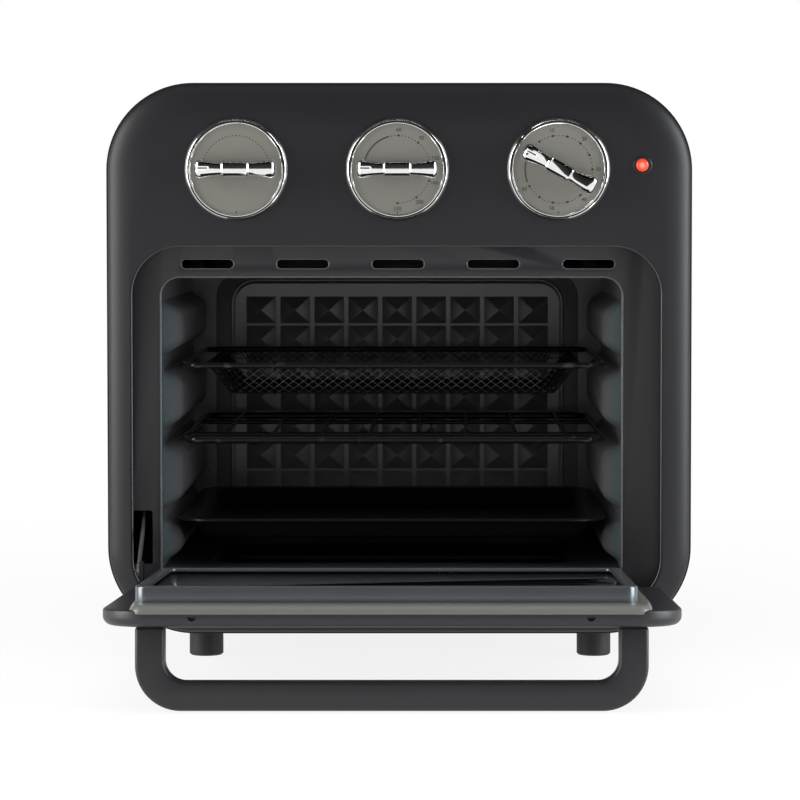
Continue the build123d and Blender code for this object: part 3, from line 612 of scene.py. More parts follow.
def glowing(name, value, roughness):
    """A lit lens: pale in the middle and deep at its rim."""
    finish = Finish(name)
    axis = spot(LAMP[0], 0.0, LAMP[1])
    flat = finish.node(
        "ShaderNodeVectorMath", {"operation": "MULTIPLY"}, {0: finish.place(), 1: (1.0, 0.0, 1.0)})
    away = finish.node(
        "ShaderNodeVectorMath", {"operation": "DISTANCE"}, {0: flat, 1: (axis.x, 0.0, axis.z)},
        out="Value")
    speck = finish.noise(900.0)
    centre = (1.0 - away * (1.0 / (2.6 * MM)) + (speck - 0.5) * 0.2).clipped()
    return finish.surface(
        Base_Color=(0.35, 0.02, 0.01), Roughness=roughness,
        Emission_Color=finish.mix(centre, value, (1.0, 0.46, 0.32)), Emission_Strength=1.05)


def dark_glass(name, value, roughness):
    """Tinted toughened glass."""
    finish = Finish(name)
    haze = finish.noise(30.0, 3.0)
    return finish.surface(
        Base_Color=value, Roughness=roughness + haze * 0.03, Transmission_Weight=0.92, IOR=1.5)


SPECIAL = {"plated": plated, "wire": dark_wire, "lit": glowing, "glass": dark_glass}
LOW_GLOSS = {"Specular_IOR_Level": 0.32}
STEEL = {"Metallic": 0.9}

# For each finish: its kind, its colour, its roughness and what else sets it apart
FINISHES = {
    "case_satin": ("satin", "case", 0.41, LOW_GLOSS),
    "front_satin": ("satin", "front", 0.41, LOW_GLOSS),
    "plate_satin": ("satin", "plate", 0.40, {}),
    # The plate paint made 4.5 times lighter and glossier: a painted highlight on thin edges
    "edge_satin": ("satin", "plate", 0.24, {"lift": 4.5}),
    # Partly the step's own paint, partly a painted highlight along the ledge under the frame
    "step_paint": ("satin", "step", 0.32, {}),
    "cavity_coating": ("coated", "cavity", 0.32, {"Metallic": 0.5}),
    # The cavity coating made darker for the ceiling and floor: painted shade
    "cavity_dark": ("coated", "cavity", 0.38, {"Metallic": 0.35, "lift": 0.3}),
    # The side walls' coating, with the painted light and shade of the rib fronts near the mouth
    "wall_coating": ("coated", "cavity", 0.38, {"Metallic": 0.35, "front": "wall_front"}),
    "bright_chrome": ("plated", "chrome", 0.05, {}),
    "dial_satin": ("brushed", "dial", 0.36, {"Metallic": 0.35, "stretch": (1.0, 1.0, 0.05)}),
    "dial_ink": ("moulded", "print_ink", 0.6, {}),
    "pointer_white": ("moulded", (0.75, 0.75, 0.73), 0.35, {}),
    "lamp_glow": ("lit", "lamp", 0.2, {}),
    "net_wire": ("wire", "net", 0.26, {}),
    "rack_wire": ("wire", "net", 0.13, {}),
    "tray_black": ("satin", "tray", 0.30, {"peel": 0.02}),
    "door_satin": ("moulded", "door", 0.42, {}),
    "glass_frame_paint": ("coated", "glass_frame", 0.24, {"Metallic": 0.6}),
    "door_pane": ("glass", (0.045, 0.055, 0.06), 0.015, {}),
    "zinc": ("metal", "zinc", 0.35, STEEL),
    "dark_steel": ("metal", (0.05, 0.05, 0.052), 0.4, STEEL),
    "rubber": ("moulded", (0.022, 0.022, 0.022), 0.7, {}),
    "foot_plastic_black": ("moulded", (0.007, 0.007, 0.0075), 0.6, {}),
    "control_body_white": ("moulded", (0.62, 0.60, 0.54), 0.5, {}),
    "thermostat_metal": ("metal", (0.50, 0.48, 0.42), 0.35, STEEL),
    "bell_metal": ("metal", (0.62, 0.45, 0.18), 0.25, STEEL),
    "heater_metal": ("metal", (0.045, 0.045, 0.043), 0.6, STEEL),
    "ceramic": ("moulded", (0.045, 0.043, 0.040), 0.6, {"size": 500.0}),
    "motor_metal": ("metal", (0.36, 0.37, 0.38), 0.4, STEEL),
    "fan_metal": ("metal", (0.62, 0.63, 0.64), 0.3, STEEL),
}


def finish_named(name):
    """A finish that an earlier step has made, or makes it now."""
    made = bpy.data.materials.get(name)
    if made:
        return made
    kind, shade, roughness, more = FINISHES[name]
    if kind in SPECIAL:
        return SPECIAL[kind](name, picked(shade), roughness)
    return coat(name, kind, picked(shade), roughness, **more)


def dress(material, *pieces):
    """Gives pieces or CAD nodes one material."""
    for piece in pieces:
        if not piece.material_slots:
            piece.data.materials.append(material)
        for slot in piece.material_slots:
            slot.material = material


def dress_nodes(finish, *nodes):
    """Gives CAD nodes that stay in sight one finish."""
    dress(finish_named(finish), *[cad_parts[node] for node in nodes])


def fit(piece, material, slot, *nodes, body="oven_body"):
    """Finishes a piece: its material, the nodes it stands for and the body it rides on. The slot is
    not used.
    """
    dress(finish_named(material), piece)
    if nodes:
        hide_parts(*nodes)
    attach(piece, body)
    return piece


# The pieces, one operator for each group


def add_lights():
    """Two tall side lights, a soft top light, a thin high one and a low front fill."""
    aim = Vector((0.0, 0.0, 0.19))
    lights = (
        ("left_light", (-1.35, -0.55, 0.45), (0.8, 1.3), 25.0, (1.0, 0.99, 0.97)),
        ("right_light", (1.35, -0.45, 0.45), (0.8, 1.3), 27.0, (0.93, 0.96, 1.0)),
        ("top_light", (-0.15, -0.30, 2.1), (2.2, 1.8), 19.0, (1.0, 1.0, 1.0)),
        ("high_glint", (0.0, -0.62, 1.95), (1.8, 0.05), 1.2, (1.0, 1.0, 1.0)),
        ("front_fill", (0.0, -2.6, 0.55), (1.4, 0.6), 9.0, (1.0, 1.0, 1.0)),
    )
    for name, place, size, power, shade in lights:
        rest()
        bpy.ops.object.light_add(type="AREA", location=place)
        lamp = bpy.context.object
        lamp.name = name
        lamp.data.shape = "RECTANGLE"
        lamp.data.size, lamp.data.size_y = size
        lamp.data.energy = power
        lamp.data.color = shade
        lamp.visible_glossy = name not in ("front_fill", "top_light")
        lamp.rotation_euler = (aim - Vector(place)).to_track_quat("-Z", "Y").to_euler()


def light_surroundings():
    """White to the camera and behind the oven, dim in front of it and for diffuse light."""
    world = bpy.context.scene.world or bpy.data.worlds.new("studio")
    bpy.context.scene.world = world
    sky = Finish("studio", world)
    seen = sky.node("ShaderNodeLightPath", out="Is Camera Ray")
    clear = seen.other("Is Glossy Ray") + seen.other("Is Transmission Ray")
    direction = sky.node("ShaderNodeTexCoord", out="Generated")
    ahead = sky.node("ShaderNodeSeparateXYZ", {}, {"Vector": direction}, out="Y")
    up, across = ahead.other("Z"), ahead.other("X")
    beside = ((across * across - 0.42) * 3.5).clipped()
    behind = ((ahead + 0.22) * 2.5).at_least(0.04).at_least(beside).at_most(1.0)
    low = (1.0 - up * 2.6).clipped(0.05)
    level = seen + (1.0 - seen) * (clear.at_most(1.0) * behind * low)
    level = level + (1.0 - (seen + clear).at_most(1.0)) * 0.30
    backdrop = sky.node(
        "ShaderNodeBackground", {}, {"Color": (1.0, 1.0, 1.0, 1.0), "Strength": level})
    sky.node("ShaderNodeOutputWorld", {}, {"Surface": backdrop})


def add_camera():
    """The photograph's place, tilt and framing."""
    rest()
    bpy.ops.object.camera_add(
        location=(0.02557, -2.0928, 0.2872), rotation=(math.pi / 2 - 0.0483, 0.0, 0.0))
    camera = bpy.context.object
    camera.name = "photo_camera"
    camera.data.lens = 145.32
    camera.data.shift_x = -39.7 / 800.0
    camera.data.shift_y = -36.0 / 800.0
    camera.data.clip_start, camera.data.clip_end = 0.05, 40.0
    bpy.context.scene.camera = camera
    bpy.context.scene.view_settings.view_transform = "Standard"


class OVEN_OT_stage(bpy.types.Operator):
    """Adds the pale floor, the soft lights, the surroundings and the camera."""

    bl_idname = "oven.stage"
    bl_label = "Floor, lights and camera"

    def execute(self, context):
        rest()
        side = context.scene.oven_sizes.floor_size
        bpy.ops.mesh.primitive_plane_add(size=side, location=(0.0, 0.0, 0.0))
        floor = settle("floor")
        paint = Finish("pale_floor")
        pale = tuple(context.scene.oven_colours.floor)
        shade = paint.mix(paint.noise(3.0), tone(pale, 0.99), pale)
        plain = paint.node("ShaderNodeBsdfDiffuse", {}, {"Color": shade})
        white = paint.node("ShaderNodeEmission", {}, {"Color": (1.0, 1.0, 1.0, 1.0)})
        seen = paint.node("ShaderNodeLightPath", out="Is Camera Ray")
        away = paint.node(
            "ShaderNodeVectorMath", {"operation": "LENGTH"}, {0: paint.place()}, out="Value")
        far = ((away - 0.35) * 1.6).clipped()
        level = (seen + seen.other("Is Glossy Ray")).at_most(1.0) * (0.86 + far * 0.14)
        both = paint.node("ShaderNodeMixShader", {}, {0: level, 1: plain, 2: white})
        paint.node("ShaderNodeOutputMaterial", {}, {"Surface": both})
        dress(paint.owner, floor)
        add_lights()
        light_surroundings()
        add_camera()
        return {"FINISHED"}


def swollen_front(corner, sizes):
    """The moulding round the recess: its edge swells out of the case like a pillow."""
    front = rounded(
        "front_moulding", within(CASE_X, CASE_SHEET), (CASE_FRONT, PLATE_Y[0]),
        within(CASE_Z, CASE_SHEET), corner, segments=28)
    pick(front, "FACE", lambda centre, normal: normal.y < -0.9)
    steps = 14
    for step in range(steps):
        start = math.pi / 2 * step / steps
        end = math.pi / 2 * (step + 1) / steps
        inwards = sizes.swell_width * (math.cos(start) - math.cos(end))
        outwards = sizes.swell_depth * (math.sin(end) - math.sin(start))
        bpy.ops.mesh.inset(thickness=inwards, depth=outwards, use_even_offset=True)
    rest()
    hole(front, RECESS_X, (-20, 40), RECESS_Z, RECESS_CORNER, 24)
    for x in DIALS.values():
        cut(front, rod("dial_hole", (x, 0, DIAL_Z), 6.0, 60, 48))
    cut(front, rod("lamp_hole", (LAMP[0], 0, LAMP[1]), 5.2, 60, 32))
    margin = -0.6

    def on_mouth(place):
        x, z = within(RECESS_X, margin), within(RECESS_Z, margin)
        return x[0] < place.x < x[1] and z[0] < place.z < z[1] and place.y < 12.0

    def mouth_edge(a, b):
        level = abs(a.y - b.y) < 0.02 or max(a.y, b.y) < 8.0 and abs(a.y - b.y) < 2.0
        return on_mouth(a) and on_mouth(b) and level

    return smooth(bevel(front, mouth_edge, 3.2, 5, clamp_overlap=True), 32.0)


class OVEN_OT_case(bpy.types.Operator):
    """Builds the wrapped case and its swollen front."""

    bl_idname = "oven.case"
    bl_label = "Case"

    def execute(self, context):
        sizes = context.scene.oven_sizes
        corner = sizes.corner / MM
        wrap = rounded("case_wrap", CASE_X, (CASE_FRONT, CASE_BACK), CASE_Z, corner, segments=24)
        drop(wrap, lambda centre, normal: abs(normal.y) > 0.9)
        thicken(wrap, CASE_SHEET)
        hole(wrap, (-95, 95), (70, 250), (16, 19), 6.0, 6, "Z")
        soften(wrap, 0.3, 2, 50.0)
        fit(smooth(wrap, 30.0), "case_satin", "case_paint", "outer_shell")

        front = swollen_front(corner - CASE_SHEET, sizes)
        fit(front, "front_satin", "fascia", "front_fascia")
        return {"FINISHED"}


def mouth_hem():
    """The folded edge up one side of the mouth, over its top and down the other side."""
    corner, depth, steps = CAVITY_CORNER, 14.2, 12
    turns = [math.pi / 2 * step / steps for step in range(steps + 1)]
    bends = [
        (corner * (1 - math.cos(angle)), CAVITY_Z[1] - corner + corner * math.sin(angle))
        for angle in turns]
    left = [(CAVITY_X[0] + across, depth, height) for across, height in bends]
    right = [(CAVITY_X[1] - across, depth, height) for across, height in reversed(bends)]
    foot = CAVITY_Z[0] + 1.0
    points = [(CAVITY_X[0], depth, foot), *left, *right, (CAVITY_X[1], depth, foot)]
    return tube(drawn("mouth_hem", points), 0.75)


class OVEN_OT_front_plate(bpy.types.Operator):
    """Builds the plate inside the recess, with its vents and the lever's slot."""

    bl_idname = "oven.front_plate"
    bl_label = "Front plate"

    def execute(self, context):
        plate = rounded(
            "front_plate", within(CASE_X, PLATE_MARGIN), PLATE_Y, within(CASE_Z, PLATE_MARGIN),
            PLATE_CORNER)
        half_x, half_z = VENT_HALF
        holes = [
            (CAVITY_X, CAVITY_Z, CAVITY_CORNER, 16), (CAVITY_X, (CAVITY_Z[0], 150.0), 3.0, 6),
            *[(about(x, half_x), about(VENT_Z, half_z), half_z - 0.02, 8) for x in VENT_X],
            (*LEVER_SLOT, 1.5, 4),
            *[(about(x, SHAFT_HOLE), about(DIAL_Z, SHAFT_HOLE), 4.9, 8) for x in DIALS.values()],
            (about(LAMP[0], LAMP_HOLE), about(LAMP[1], LAMP_HOLE), 6.4, 8)]
        for x, z, corner, segments in holes:
            hole(plate, x, THROUGH_PLATE, z, corner, segments)
        soften(plate, 0.38, 3, 50.0)
        smooth(plate, 30.0)
        fit(plate, "plate_satin", "front_plate", "inner_front_plate")

        rims = []
        for x in VENT_X:
            edge = loop("vent_rim", about(x, half_x + 0.2), 14.1, about(VENT_Z, half_z + 0.2), 3.05)
            rims.append(tube(edge, 0.42, 2))
        bead = loop(
            "recess_bead", within(RECESS_X, 0.15), 9.0, within(RECESS_Z, 0.15),
            RECESS_CORNER - 0.15, 16)
        # The hem, vent rims and recess bead wear the lighter edge paint, which is a painted highlight
        for trim in (mouth_hem(), join("vent_rims", *rims), tube(bead, 0.7)):
            fit(trim, "edge_satin", "front_plate")
        return {"FINISHED"}


def side_wall(name, x, side):
    """A flat sheet with pressed ribs, which leave grooves for what slides in."""
    tall = within(CAVITY_Z, -CAVITY_SHEET)
    sheet = sorted((x, x + side * CAVITY_SHEET))
    pieces = [block("wall_sheet", sheet, (PLATE_Y[1], CAVITY_BACK), tall)]
    inner = x - side * RIB_RISE
    share = 1.0 - RIB_SLOPES[0] / (RIB_Y[1] - RIB_Y[0])
    for low, high in RIB_BANDS:
        rib = block("rib", sorted((x, inner)), RIB_Y, (low, high))
        pick(rib, "FACE", lambda centre, normal: normal.x * side < -0.9)
        bpy.ops.transform.resize(
            value=(1.0, share, 1.0 - RIB_SLOPES[1] / (high - low)),
            center_override=spot(inner, sum(RIB_Y) / 2, (low + high) / 2))
        rest()
        drop(rib, lambda centre, normal: normal.x * side > 0.9)
        pieces.append(soften(rib, 5.0, 6, 20.0))
    head = [(2.4, 0.0), (2.2, 0.5), (1.5, 0.95), (0.7, 1.15), (0.0, 1.2)]
    for height in (212.3, 105.6 if side < 0 else 125.9, 86.5):
        centre = (x, RIVET_Y, height)
        rivet = turned("rivet", head, centre, "X", 20)
        if side > 0:
            only(rivet)
            bpy.ops.transform.mirror(
                orient_type="GLOBAL", constraint_axis=(True, False, False),
                center_override=spot(*centre))
            mend(rivet)
        pieces.append(rivet)
    return smooth(join(f"cavity_side_{name}", *pieces), 30.0)


def rear_wall():
    """The rear sheet, its pressed border, and a raised panel of small pyramids."""
    middle = PYRAMID[0]
    sheet = block(
        "rear_sheet", within(CAVITY_X, -CAVITY_SHEET),
        (CAVITY_BACK, CAVITY_BACK + CAVITY_SHEET), within(CAVITY_Z, -CAVITY_SHEET))
    border = rounded("border", about(middle, 130), (288.3, 289.1), (66.0, 241.0), 18.0)
    soften(border, 0.6, 3, 50.0)
    panel = rounded("panel", about(middle, 119.5), (285.4, 288.4), PANEL_Z, 18.0)
    pick(panel, "FACE", lambda centre, normal: normal.y < -0.9)
    inset((1.9, 0.0), (1.2, -1.1))
    soften(panel, 0.9, 3, 30.0)
    peak = single_pyramid()
    pieces = [sheet, border, panel]
    for row in range(7):
        for column in range(-4, 5):
            if row or column:
                shift = (column * PYRAMID_PITCH[0], 0.0, -PYRAMID_PITCH[1] * row)
                pieces.append(copy(peak, "pyramid_copy", shift))
    return smooth(join("cavity_rear", *pieces, peak), 25.0)


def single_pyramid():
    """A four-sided cone, turned so that its base is square to the panel."""
    rest()
    centre = spot(*PYRAMID)
    bpy.ops.mesh.primitive_cone_add(
        vertices=4, radius1=10.6 * math.sqrt(2) * MM, radius2=0.4 * MM, depth=3.8 * MM,
        location=centre, rotation=FACING)
    peak = settle("pyramid")
    edit(peak)
    bpy.ops.transform.rotate(
        value=math.pi / 4, orient_axis="Y", orient_type="GLOBAL", center_override=centre)
    bpy.ops.transform.resize(value=(1.03, 1.0, 0.93), center_override=centre)
    rest()
    return soften(peak, 0.5, 2, 20.0)


class OVEN_OT_cavity(bpy.types.Operator):
    """Builds the cavity's ribbed sides and its rear wall with the raised pyramids."""

    bl_idname = "oven.cavity"
    bl_label = "Cavity"

    def execute(self, context):
        for name, x, side in (("left", CAVITY_X[0], -1), ("right", CAVITY_X[1], 1)):
            wall = side_wall(name, x, side)
            fit(wall, "wall_coating", "cavity_steel", f"cavity_{name}_wall")
        fit(rear_wall(), "cavity_coating", "cavity_steel", "cavity_back")
        # The ceiling and floor get the darker copy of the coating, which is painted shade
        dress_nodes("cavity_dark", "cavity_ceiling", "cavity_floor")
        return {"FINISHED"}


def dial_marks(name, x):
    """Dots, an arc, numbers and a small index, printed a little above the disc."""
    small, size, large, numbers, arc = DIAL_MARKS[name]
    dots = [(angle, size) for angle in small] + [(angle, 0.72) for angle in large]
    pieces = [
        rod("dot", on_dial(x, angle, DOT_CIRCLE), radius, 0.1, 10) for angle, radius in dots]
    for angle, words in numbers.items():
        pieces.append(dial_number(on_dial(x, angle, NUMBER_CIRCLE), words))
    if arc:
        low, high = arc
        turns = [low + (high - low) * step / 20 for step in range(21)]
        line = drawn("arc", [on_dial(x, angle, DOT_CIRCLE) for angle in turns])
        pieces.append(tube(line, 0.34, 1))
    pieces.append(rod("index", (x, PRINT_Y, DIAL_Z - 27.0), 0.75, 0.1, 3))
    return join(f"{name}_marks", *pieces)


def on_dial(x, angle, radius):
    """A place on a dial, with its angle clockwise from the top."""
    clockwise = math.radians(angle)
    return (x + radius * math.sin(clockwise), PRINT_Y, DIAL_Z + radius * math.cos(clockwise))


def dial_number(place, words):
    """A number made a mesh, with its middle at a place."""
    rest()
    bpy.ops.object.text_add(location=spot(*place), rotation=FACING)
    text = bpy.context.object.data
    text.body = words
    text.size = 3.3 * MM
    text.align_x = "CENTER"
    text.align_y = "CENTER"
    text.extrude = 0.04 * MM
    text.resolution_u = 3
    bpy.ops.object.convert(target="MESH")
    return settle("number")


class OVEN_OT_dials(bpy.types.Operator):
    """Builds the three dials: bright ring, satin disc and printed marks."""

    bl_idname = "oven.dials"
    bl_label = "Dials"

    def execute(self, context):
        r = context.scene.oven_sizes.ring_radius / MM
        band = [
            (r - 4.2, 0.0), (r, 0.0), (r, -1.2), (r - 0.2, -1.8), (r - 1.3, -3.2), (r - 1.5, -3.42),
            (r - 1.7, -3.5), (r - 1.85, -3.4), (r - 1.9, -3.1), (r - 1.9, -1.6), (r - 2.7, -1.6),
            (r - 2.7, -2.6), (r - 2.8, -2.88), (r - 3.05, -3.0), (r - 3.35, -3.0),
            (r - 3.65, -2.9), (r - 3.9, -2.65), (r - 4.1, -2.3), (r - 4.2, -1.9), (r - 4.2, 0.0)]
        channel = [
            (r - 2.8, -1.5), (r - 2.8, -2.3), (r - 1.8, -2.3), (r - 1.8, -1.5), (r - 2.8, -1.5)]
        face = [
            (4.7, 0.0), (28.6, 0.0), (28.6, -1.0), (28.4, -1.2), (4.9, -1.2), (4.7, -1.0), (4.7, 0.0)]
        for name, x in DIALS.items():
            rounds = (
                ("ring", band, "bright_chrome", "dial_chrome", [f"{name}_dial_ring"]),
                ("groove", channel, "rubber", "dial_chrome", []),
                ("disc", face, "dial_satin", "dial_face", [f"{name}_dial"]))
            for part, profile, finish, slot, nodes in rounds:
                piece = smooth(turned(f"{name}_{part}", profile, (x, 0.0, DIAL_Z), steps=128), 40.0)
                fit(piece, finish, slot, *nodes)
            fit(dial_marks(name, x), "dial_ink", "dial_face")
        return {"FINISHED"}


def dial_grip(name, x, half):
    """A squared bar, waisted between its ends and its middle, on a short round neck."""
    centre = (x, -10.0, DIAL_Z)
    arm = [
        (half, 2.6), (half - 0.25, 3.6), (half - 0.8, 4.7), (half - 1.8, 5.5), (half - 3.4, 5.9),
        (half - 5.5, 5.75), (half - 9.0, 5.1), (half - 13.0, 4.5), (9.2, 4.15), (8.6, 4.2),
        (8.1, 4.9), (7.7, 5.25), (7.1, 5.3), (6.6, 5.12), (6.3, 5.05)]
    diagonal = math.sqrt(2.0)
    profile = [(radius * diagonal, place) for place, radius in arm]
    profile += [(radius * diagonal, -place) for place, radius in reversed(arm)]
    bar = turned("bar", profile, centre, "X", 4)
    edit(bar)
    bpy.ops.mesh.fill_holes(sides=0)
    bpy.ops.mesh.select_all(action="SELECT")
    bpy.ops.transform.rotate(
        value=math.pi / 4, orient_axis="X", orient_type="GLOBAL", center_override=spot(*centre))
    rest()
    for side, share in ((1, 22.0), (-1, 46.0)):
        bevel(
            bar, lambda a, b: abs(a.x - b.x) > 0.05 and side * (a.z - DIAL_Z) > 0, 0.0, 7,
            offset_type="PERCENT", offset_pct=share)
    edit(bar)
    bpy.ops.transform.resize(value=(1.0, 1.18, 1.0), center_override=spot(*centre))
    rest()
    column = [(0.0, -9.0), (4.2, -9.0), (4.2, -2.6), (4.5, -2.2), (4.5, -0.3), (0.0, -0.3)]
    neck = turned("neck", column, (x, 0.0, DIAL_Z), steps=48)
    left, level = x - half, DIAL_Z + 0.6
    pointer = rounded(
        f"{name}_pointer", (left + 1.3, left + 9.3), (-17.3, -14.0), about(level, 1.15), 1.0,
        segments=5)
    inlay = rounded(
        f"{name}_inlay", (left + 2.3, left + 8.3), (-17.4, -16.9), about(level, 0.4), 0.35,
        segments=4)
    return smooth(join(f"{name}_grip", bar, neck), 40.0), smooth(pointer), smooth(inlay)


class OVEN_OT_grips(bpy.types.Operator):
    """Builds the three waisted grips with their bands and pointers."""

    bl_idname = "oven.grips"
    bl_label = "Grips"

    def execute(self, context):
        sizes = context.scene.oven_sizes
        for name, x in DIALS.items():
            angle = sizes.timer_turn if name == "timer" else 0.0
            grip, pointer, inlay = dial_grip(name, x, sizes.grip_length / MM / 2)
            turn(spot(x, 0.0, DIAL_Z), (0.0, angle, 0.0), grip, pointer, inlay)
            control = f"{name}_control"
            fit(grip, "bright_chrome", "dial_chrome", f"{name}_knob", body=control)
            fit(pointer, "pointer_white", "dial_chrome", body=control)
            fit(inlay, "dial_ink", "dial_chrome", body=control)
            dress_nodes("zinc", f"{name}_shaft")
        return {"FINISHED"}


class OVEN_OT_lamp(bpy.types.Operator):
    """Builds the power lamp's lens and bezel."""

    bl_idname = "oven.lamp"
    bl_label = "Power lamp"

    def execute(self, context):
        centre = (LAMP[0], 0.0, LAMP[1])
        rim = [
            (4.0, 6.0), (5.1, 6.0), (5.1, -0.02), (6.1, -0.02), (6.15, -0.3), (5.8, -0.65),
            (4.6, -0.8), (4.1, -0.6), (4.0, -0.2), (4.0, 6.0)]
        bezel = smooth(turned("lamp_rim", rim, centre, steps=64), 40.0)
        fit(bezel, "front_satin", "dial_chrome", "lamp_bezel")
        dome = [
            (0.0, 7.8), (3.9, 7.8), (3.9, -0.3), (3.6, -0.9), (2.8, -1.35), (1.6, -1.6), (0.0, -1.7)]
        lens = smooth(turned("lamp_dome", dome, centre, steps=48), 40.0)
        fit(lens, "lamp_glow", "lamp_amber", "lamp_lens")
        return {"FINISHED"}


def folded_net(pitch, thickness):
    """A diagonal grid, clipped to the basket's unfolded outline and folded down into it."""
    rest()
    unfolded, slope_out, slope_up = 420.0, 0.60, 0.76
    count = int(unfolded / pitch)
    bpy.ops.mesh.primitive_grid_add(
        x_subdivisions=count, y_subdivisions=count, size=count * pitch * MM,
        location=spot(sum(RACK_X) / 2, sum(RACK_Y) / 2, BASKET_LEVEL),
        rotation=(0.0, 0.0, math.pi / 4))
    net = settle("basket_mesh")
    wall, lip, corner = 24.4, 3.0, 8.0
    floor_x, floor_y = within(RACK_X, 33.0), within(RACK_Y, 28.0)
    far_x, far_y = within(floor_x, -wall - lip), within(floor_y, -wall - lip)
    edges = (
        ((far_x[0], 0, 0), (-1, 0, 0)), ((far_x[1], 0, 0), (1, 0, 0)),
        ((0, far_y[0], 0), (0, -1, 0)), ((0, far_y[1], 0), (0, 1, 0)))
    for place, normal in edges:
        edit(net)
        bpy.ops.mesh.bisect(plane_co=spot(*place), plane_no=normal, clear_outer=True)
        rest()
    bend_x, bend_y = within(floor_x, corner), within(floor_y, corner)
    lowest = BASKET_LEVEL - BASKET_DEPTH
    for vertex in net.data.vertices:
        here = measured(vertex.co)
        near_x = min(max(here.x, bend_x[0]), bend_x[1])
        near_y = min(max(here.y, bend_y[0]), bend_y[1])
        away = Vector((here.x - near_x, here.y - near_y))
        past = away.length - corner
        if past <= 0.0:
            vertex.co = spot(here.x, here.y, lowest)
            continue
        along = away.normalized()
        up = min(past, wall)
        out = corner + up * slope_out + max(0.0, past - wall)
        height = lowest + up * slope_up
        vertex.co = spot(near_x + along.x * out, near_y + along.y * out, height)
    change = net.modifiers.new("wire", "WIREFRAME")
    change.thickness = thickness
    change.use_even_offset = True
    change.use_boundary = True
    return smooth(apply_all(net), 60.0)


class OVEN_OT_basket(bpy.types.Operator):
    """Builds the mesh basket and its rim wire."""

    bl_idname = "oven.basket"
    bl_label = "Basket"

    def execute(self, context):
        sizes = context.scene.oven_sizes
        wire = sizes.rim_wire / MM
        line = loop(
            "basket_wire", within(RACK_X, wire), within(RACK_Y, wire), BASKET_LEVEL, RACK_CORNER)
        fit(tube(line, wire), "rack_wire", "wire_steel", "basket_rim", body="basket")
        net = folded_net(sizes.net_pitch / MM, sizes.net_wire)
        fit(net, "net_wire", "net_steel", "basket_net", body="basket")
        return {"FINISHED"}


class OVEN_OT_rack(bpy.types.Operator):
    """Builds the wire rack."""

    bl_idname = "oven.rack"
    bl_label = "Wire rack"

    def execute(self, context):
        thin = context.scene.oven_sizes.rack_wire / MM
        rim, crossbar, first, pitch = 2.5, 1.5, -113.2, 31.35
        line = loop("rack_rim", within(RACK_X, rim), within(RACK_Y, rim), RACK_LEVEL, RACK_CORNER)
        pieces = [tube(line, rim, 4)]
        front, back = RACK_Y
        for index in range(8):
            x = first + index * pitch
            course = (
                (front + 1.6, -0.2), (front + 3.4, 1.5), (front + 7.0, 2.0), (back - 7.0, 2.0),
                (back - 3.4, 1.5), (back - 1.6, -0.2))
            ends = [(x, y, RACK_LEVEL + rise) for y, rise in course]
            pieces.append(tube(drawn("depth_wire", ends), thin))
        for y in within(RACK_Y, 62.0):
            ends = [(x, y, RACK_LEVEL - 0.6) for x in within(RACK_X, 2.0)]
            pieces.append(tube(drawn("cross_wire", ends), crossbar))
        fit(join("rack_wires", *pieces), "rack_wire", "wire_steel", "wire_rack", body="rack")
        return {"FINISHED"}


class OVEN_OT_tray(bpy.types.Operator):
    """Builds the black tray with its rolled rim."""

    bl_idname = "oven.tray"
    bl_label = "Tray"

    def execute(self, context):
        tray = rounded(
            "tray_pan", within(RACK_X, 1), within(RACK_Y, 1), (TRAY_LEVEL - 1.0, TRAY_LEVEL - 0.4),
            22.0, "Z", 12)
        drop(tray, lambda centre, normal: normal.z < -0.5)
        drop(tray, lambda centre, normal: abs(normal.z) < 0.5)
        pick(tray, "FACE", lambda centre, normal: True)
        inset((9.0, 0.0), (1.2, -0.8), (4.2, -9.6), (2.6, -1.6), (3.4, -0.2))
        thicken(tray, 1.0)
        soften(tray, 0.5, 2, 40.0)
        smooth(tray, 50.0)
        edge = loop("tray_bead", within(RACK_X, 1.4), within(RACK_Y, 1.4), TRAY_LEVEL - 1.2, 21.6)
        tray = join("tray_body", tray, tube(edge, 1.1))
        fit(tray, "tray_black", "tray_enamel", "bake_tray", body="tray")
        return {"FINISHED"}


def door_plate():
    """The outer plate with its window, hinge corners and two small edge notches."""
    plate = rounded("door_plate", DOOR_X, DOOR_Y, DOOR_Z, 30.0, segments=14)
    bevel(plate, lambda a, b: min(a.y, b.y) > DOOR_Y[1] - 0.1, 1.5, 4)
    bevel(plate, lambda a, b: max(a.y, b.y) < DOOR_Y[0] + 0.1, 5.2, 8)
    window_x = about(sum(CAVITY_X) / 2, WINDOW_HALF[0])
    window_z = about(sum(CAVITY_Z) / 2, WINDOW_HALF[1])
    hole(plate, window_x, (-10, 30), window_z, 12.0, 8)
    for x in ((-175.0, -152.6), (149.2, 175.0)):
        cut(plate, block("hinge_tool", x, (-20, 30), (30, 55.0)))
    soften(plate, 1.3, 4, 50.0)
    for x in NOTCH_X:
        notch = rod("notch_tool", (x, 6.4, DOOR_Z[1]), 2.4, 8.0, 32, (0.0, 0.0, 0.0))
        cut(notch, block("half_tool", about(x, 9), (6.4, 15.0), (250, 270)))
        cut(plate, notch)
    return plate


def open_glass(piece):
    """Opens the frame, or the step under it, for the glass."""
    return hole(
        piece, within(GLASS_X, GLASS_BORDER), (0, 40), within(GLASS_Z, GLASS_BORDER), 4.0, 6)


def door_step():
    """The low step on the inner face that carries the frame round the glass."""
    top = DOOR_Y[1] + STEP_RISE
    step = rounded(
        "door_step", (GLASS_X[0] - 1.8, GLASS_X[1] + 7.5), (DOOR_Y[1] - 2.2, top),
        (GLASS_Z[0] - 2.0, DOOR_Z[1] + 0.1), 9.0, segments=8)
    open_glass(step)

    def far_edge(a, b):
        return min(a.y, b.y) > top - 0.1 and min(a.z, b.z) > DOOR_Z[1] - 9.5

    return soften(bevel(step, far_edge, 4.4, 8), 0.5, 2, 50.0)


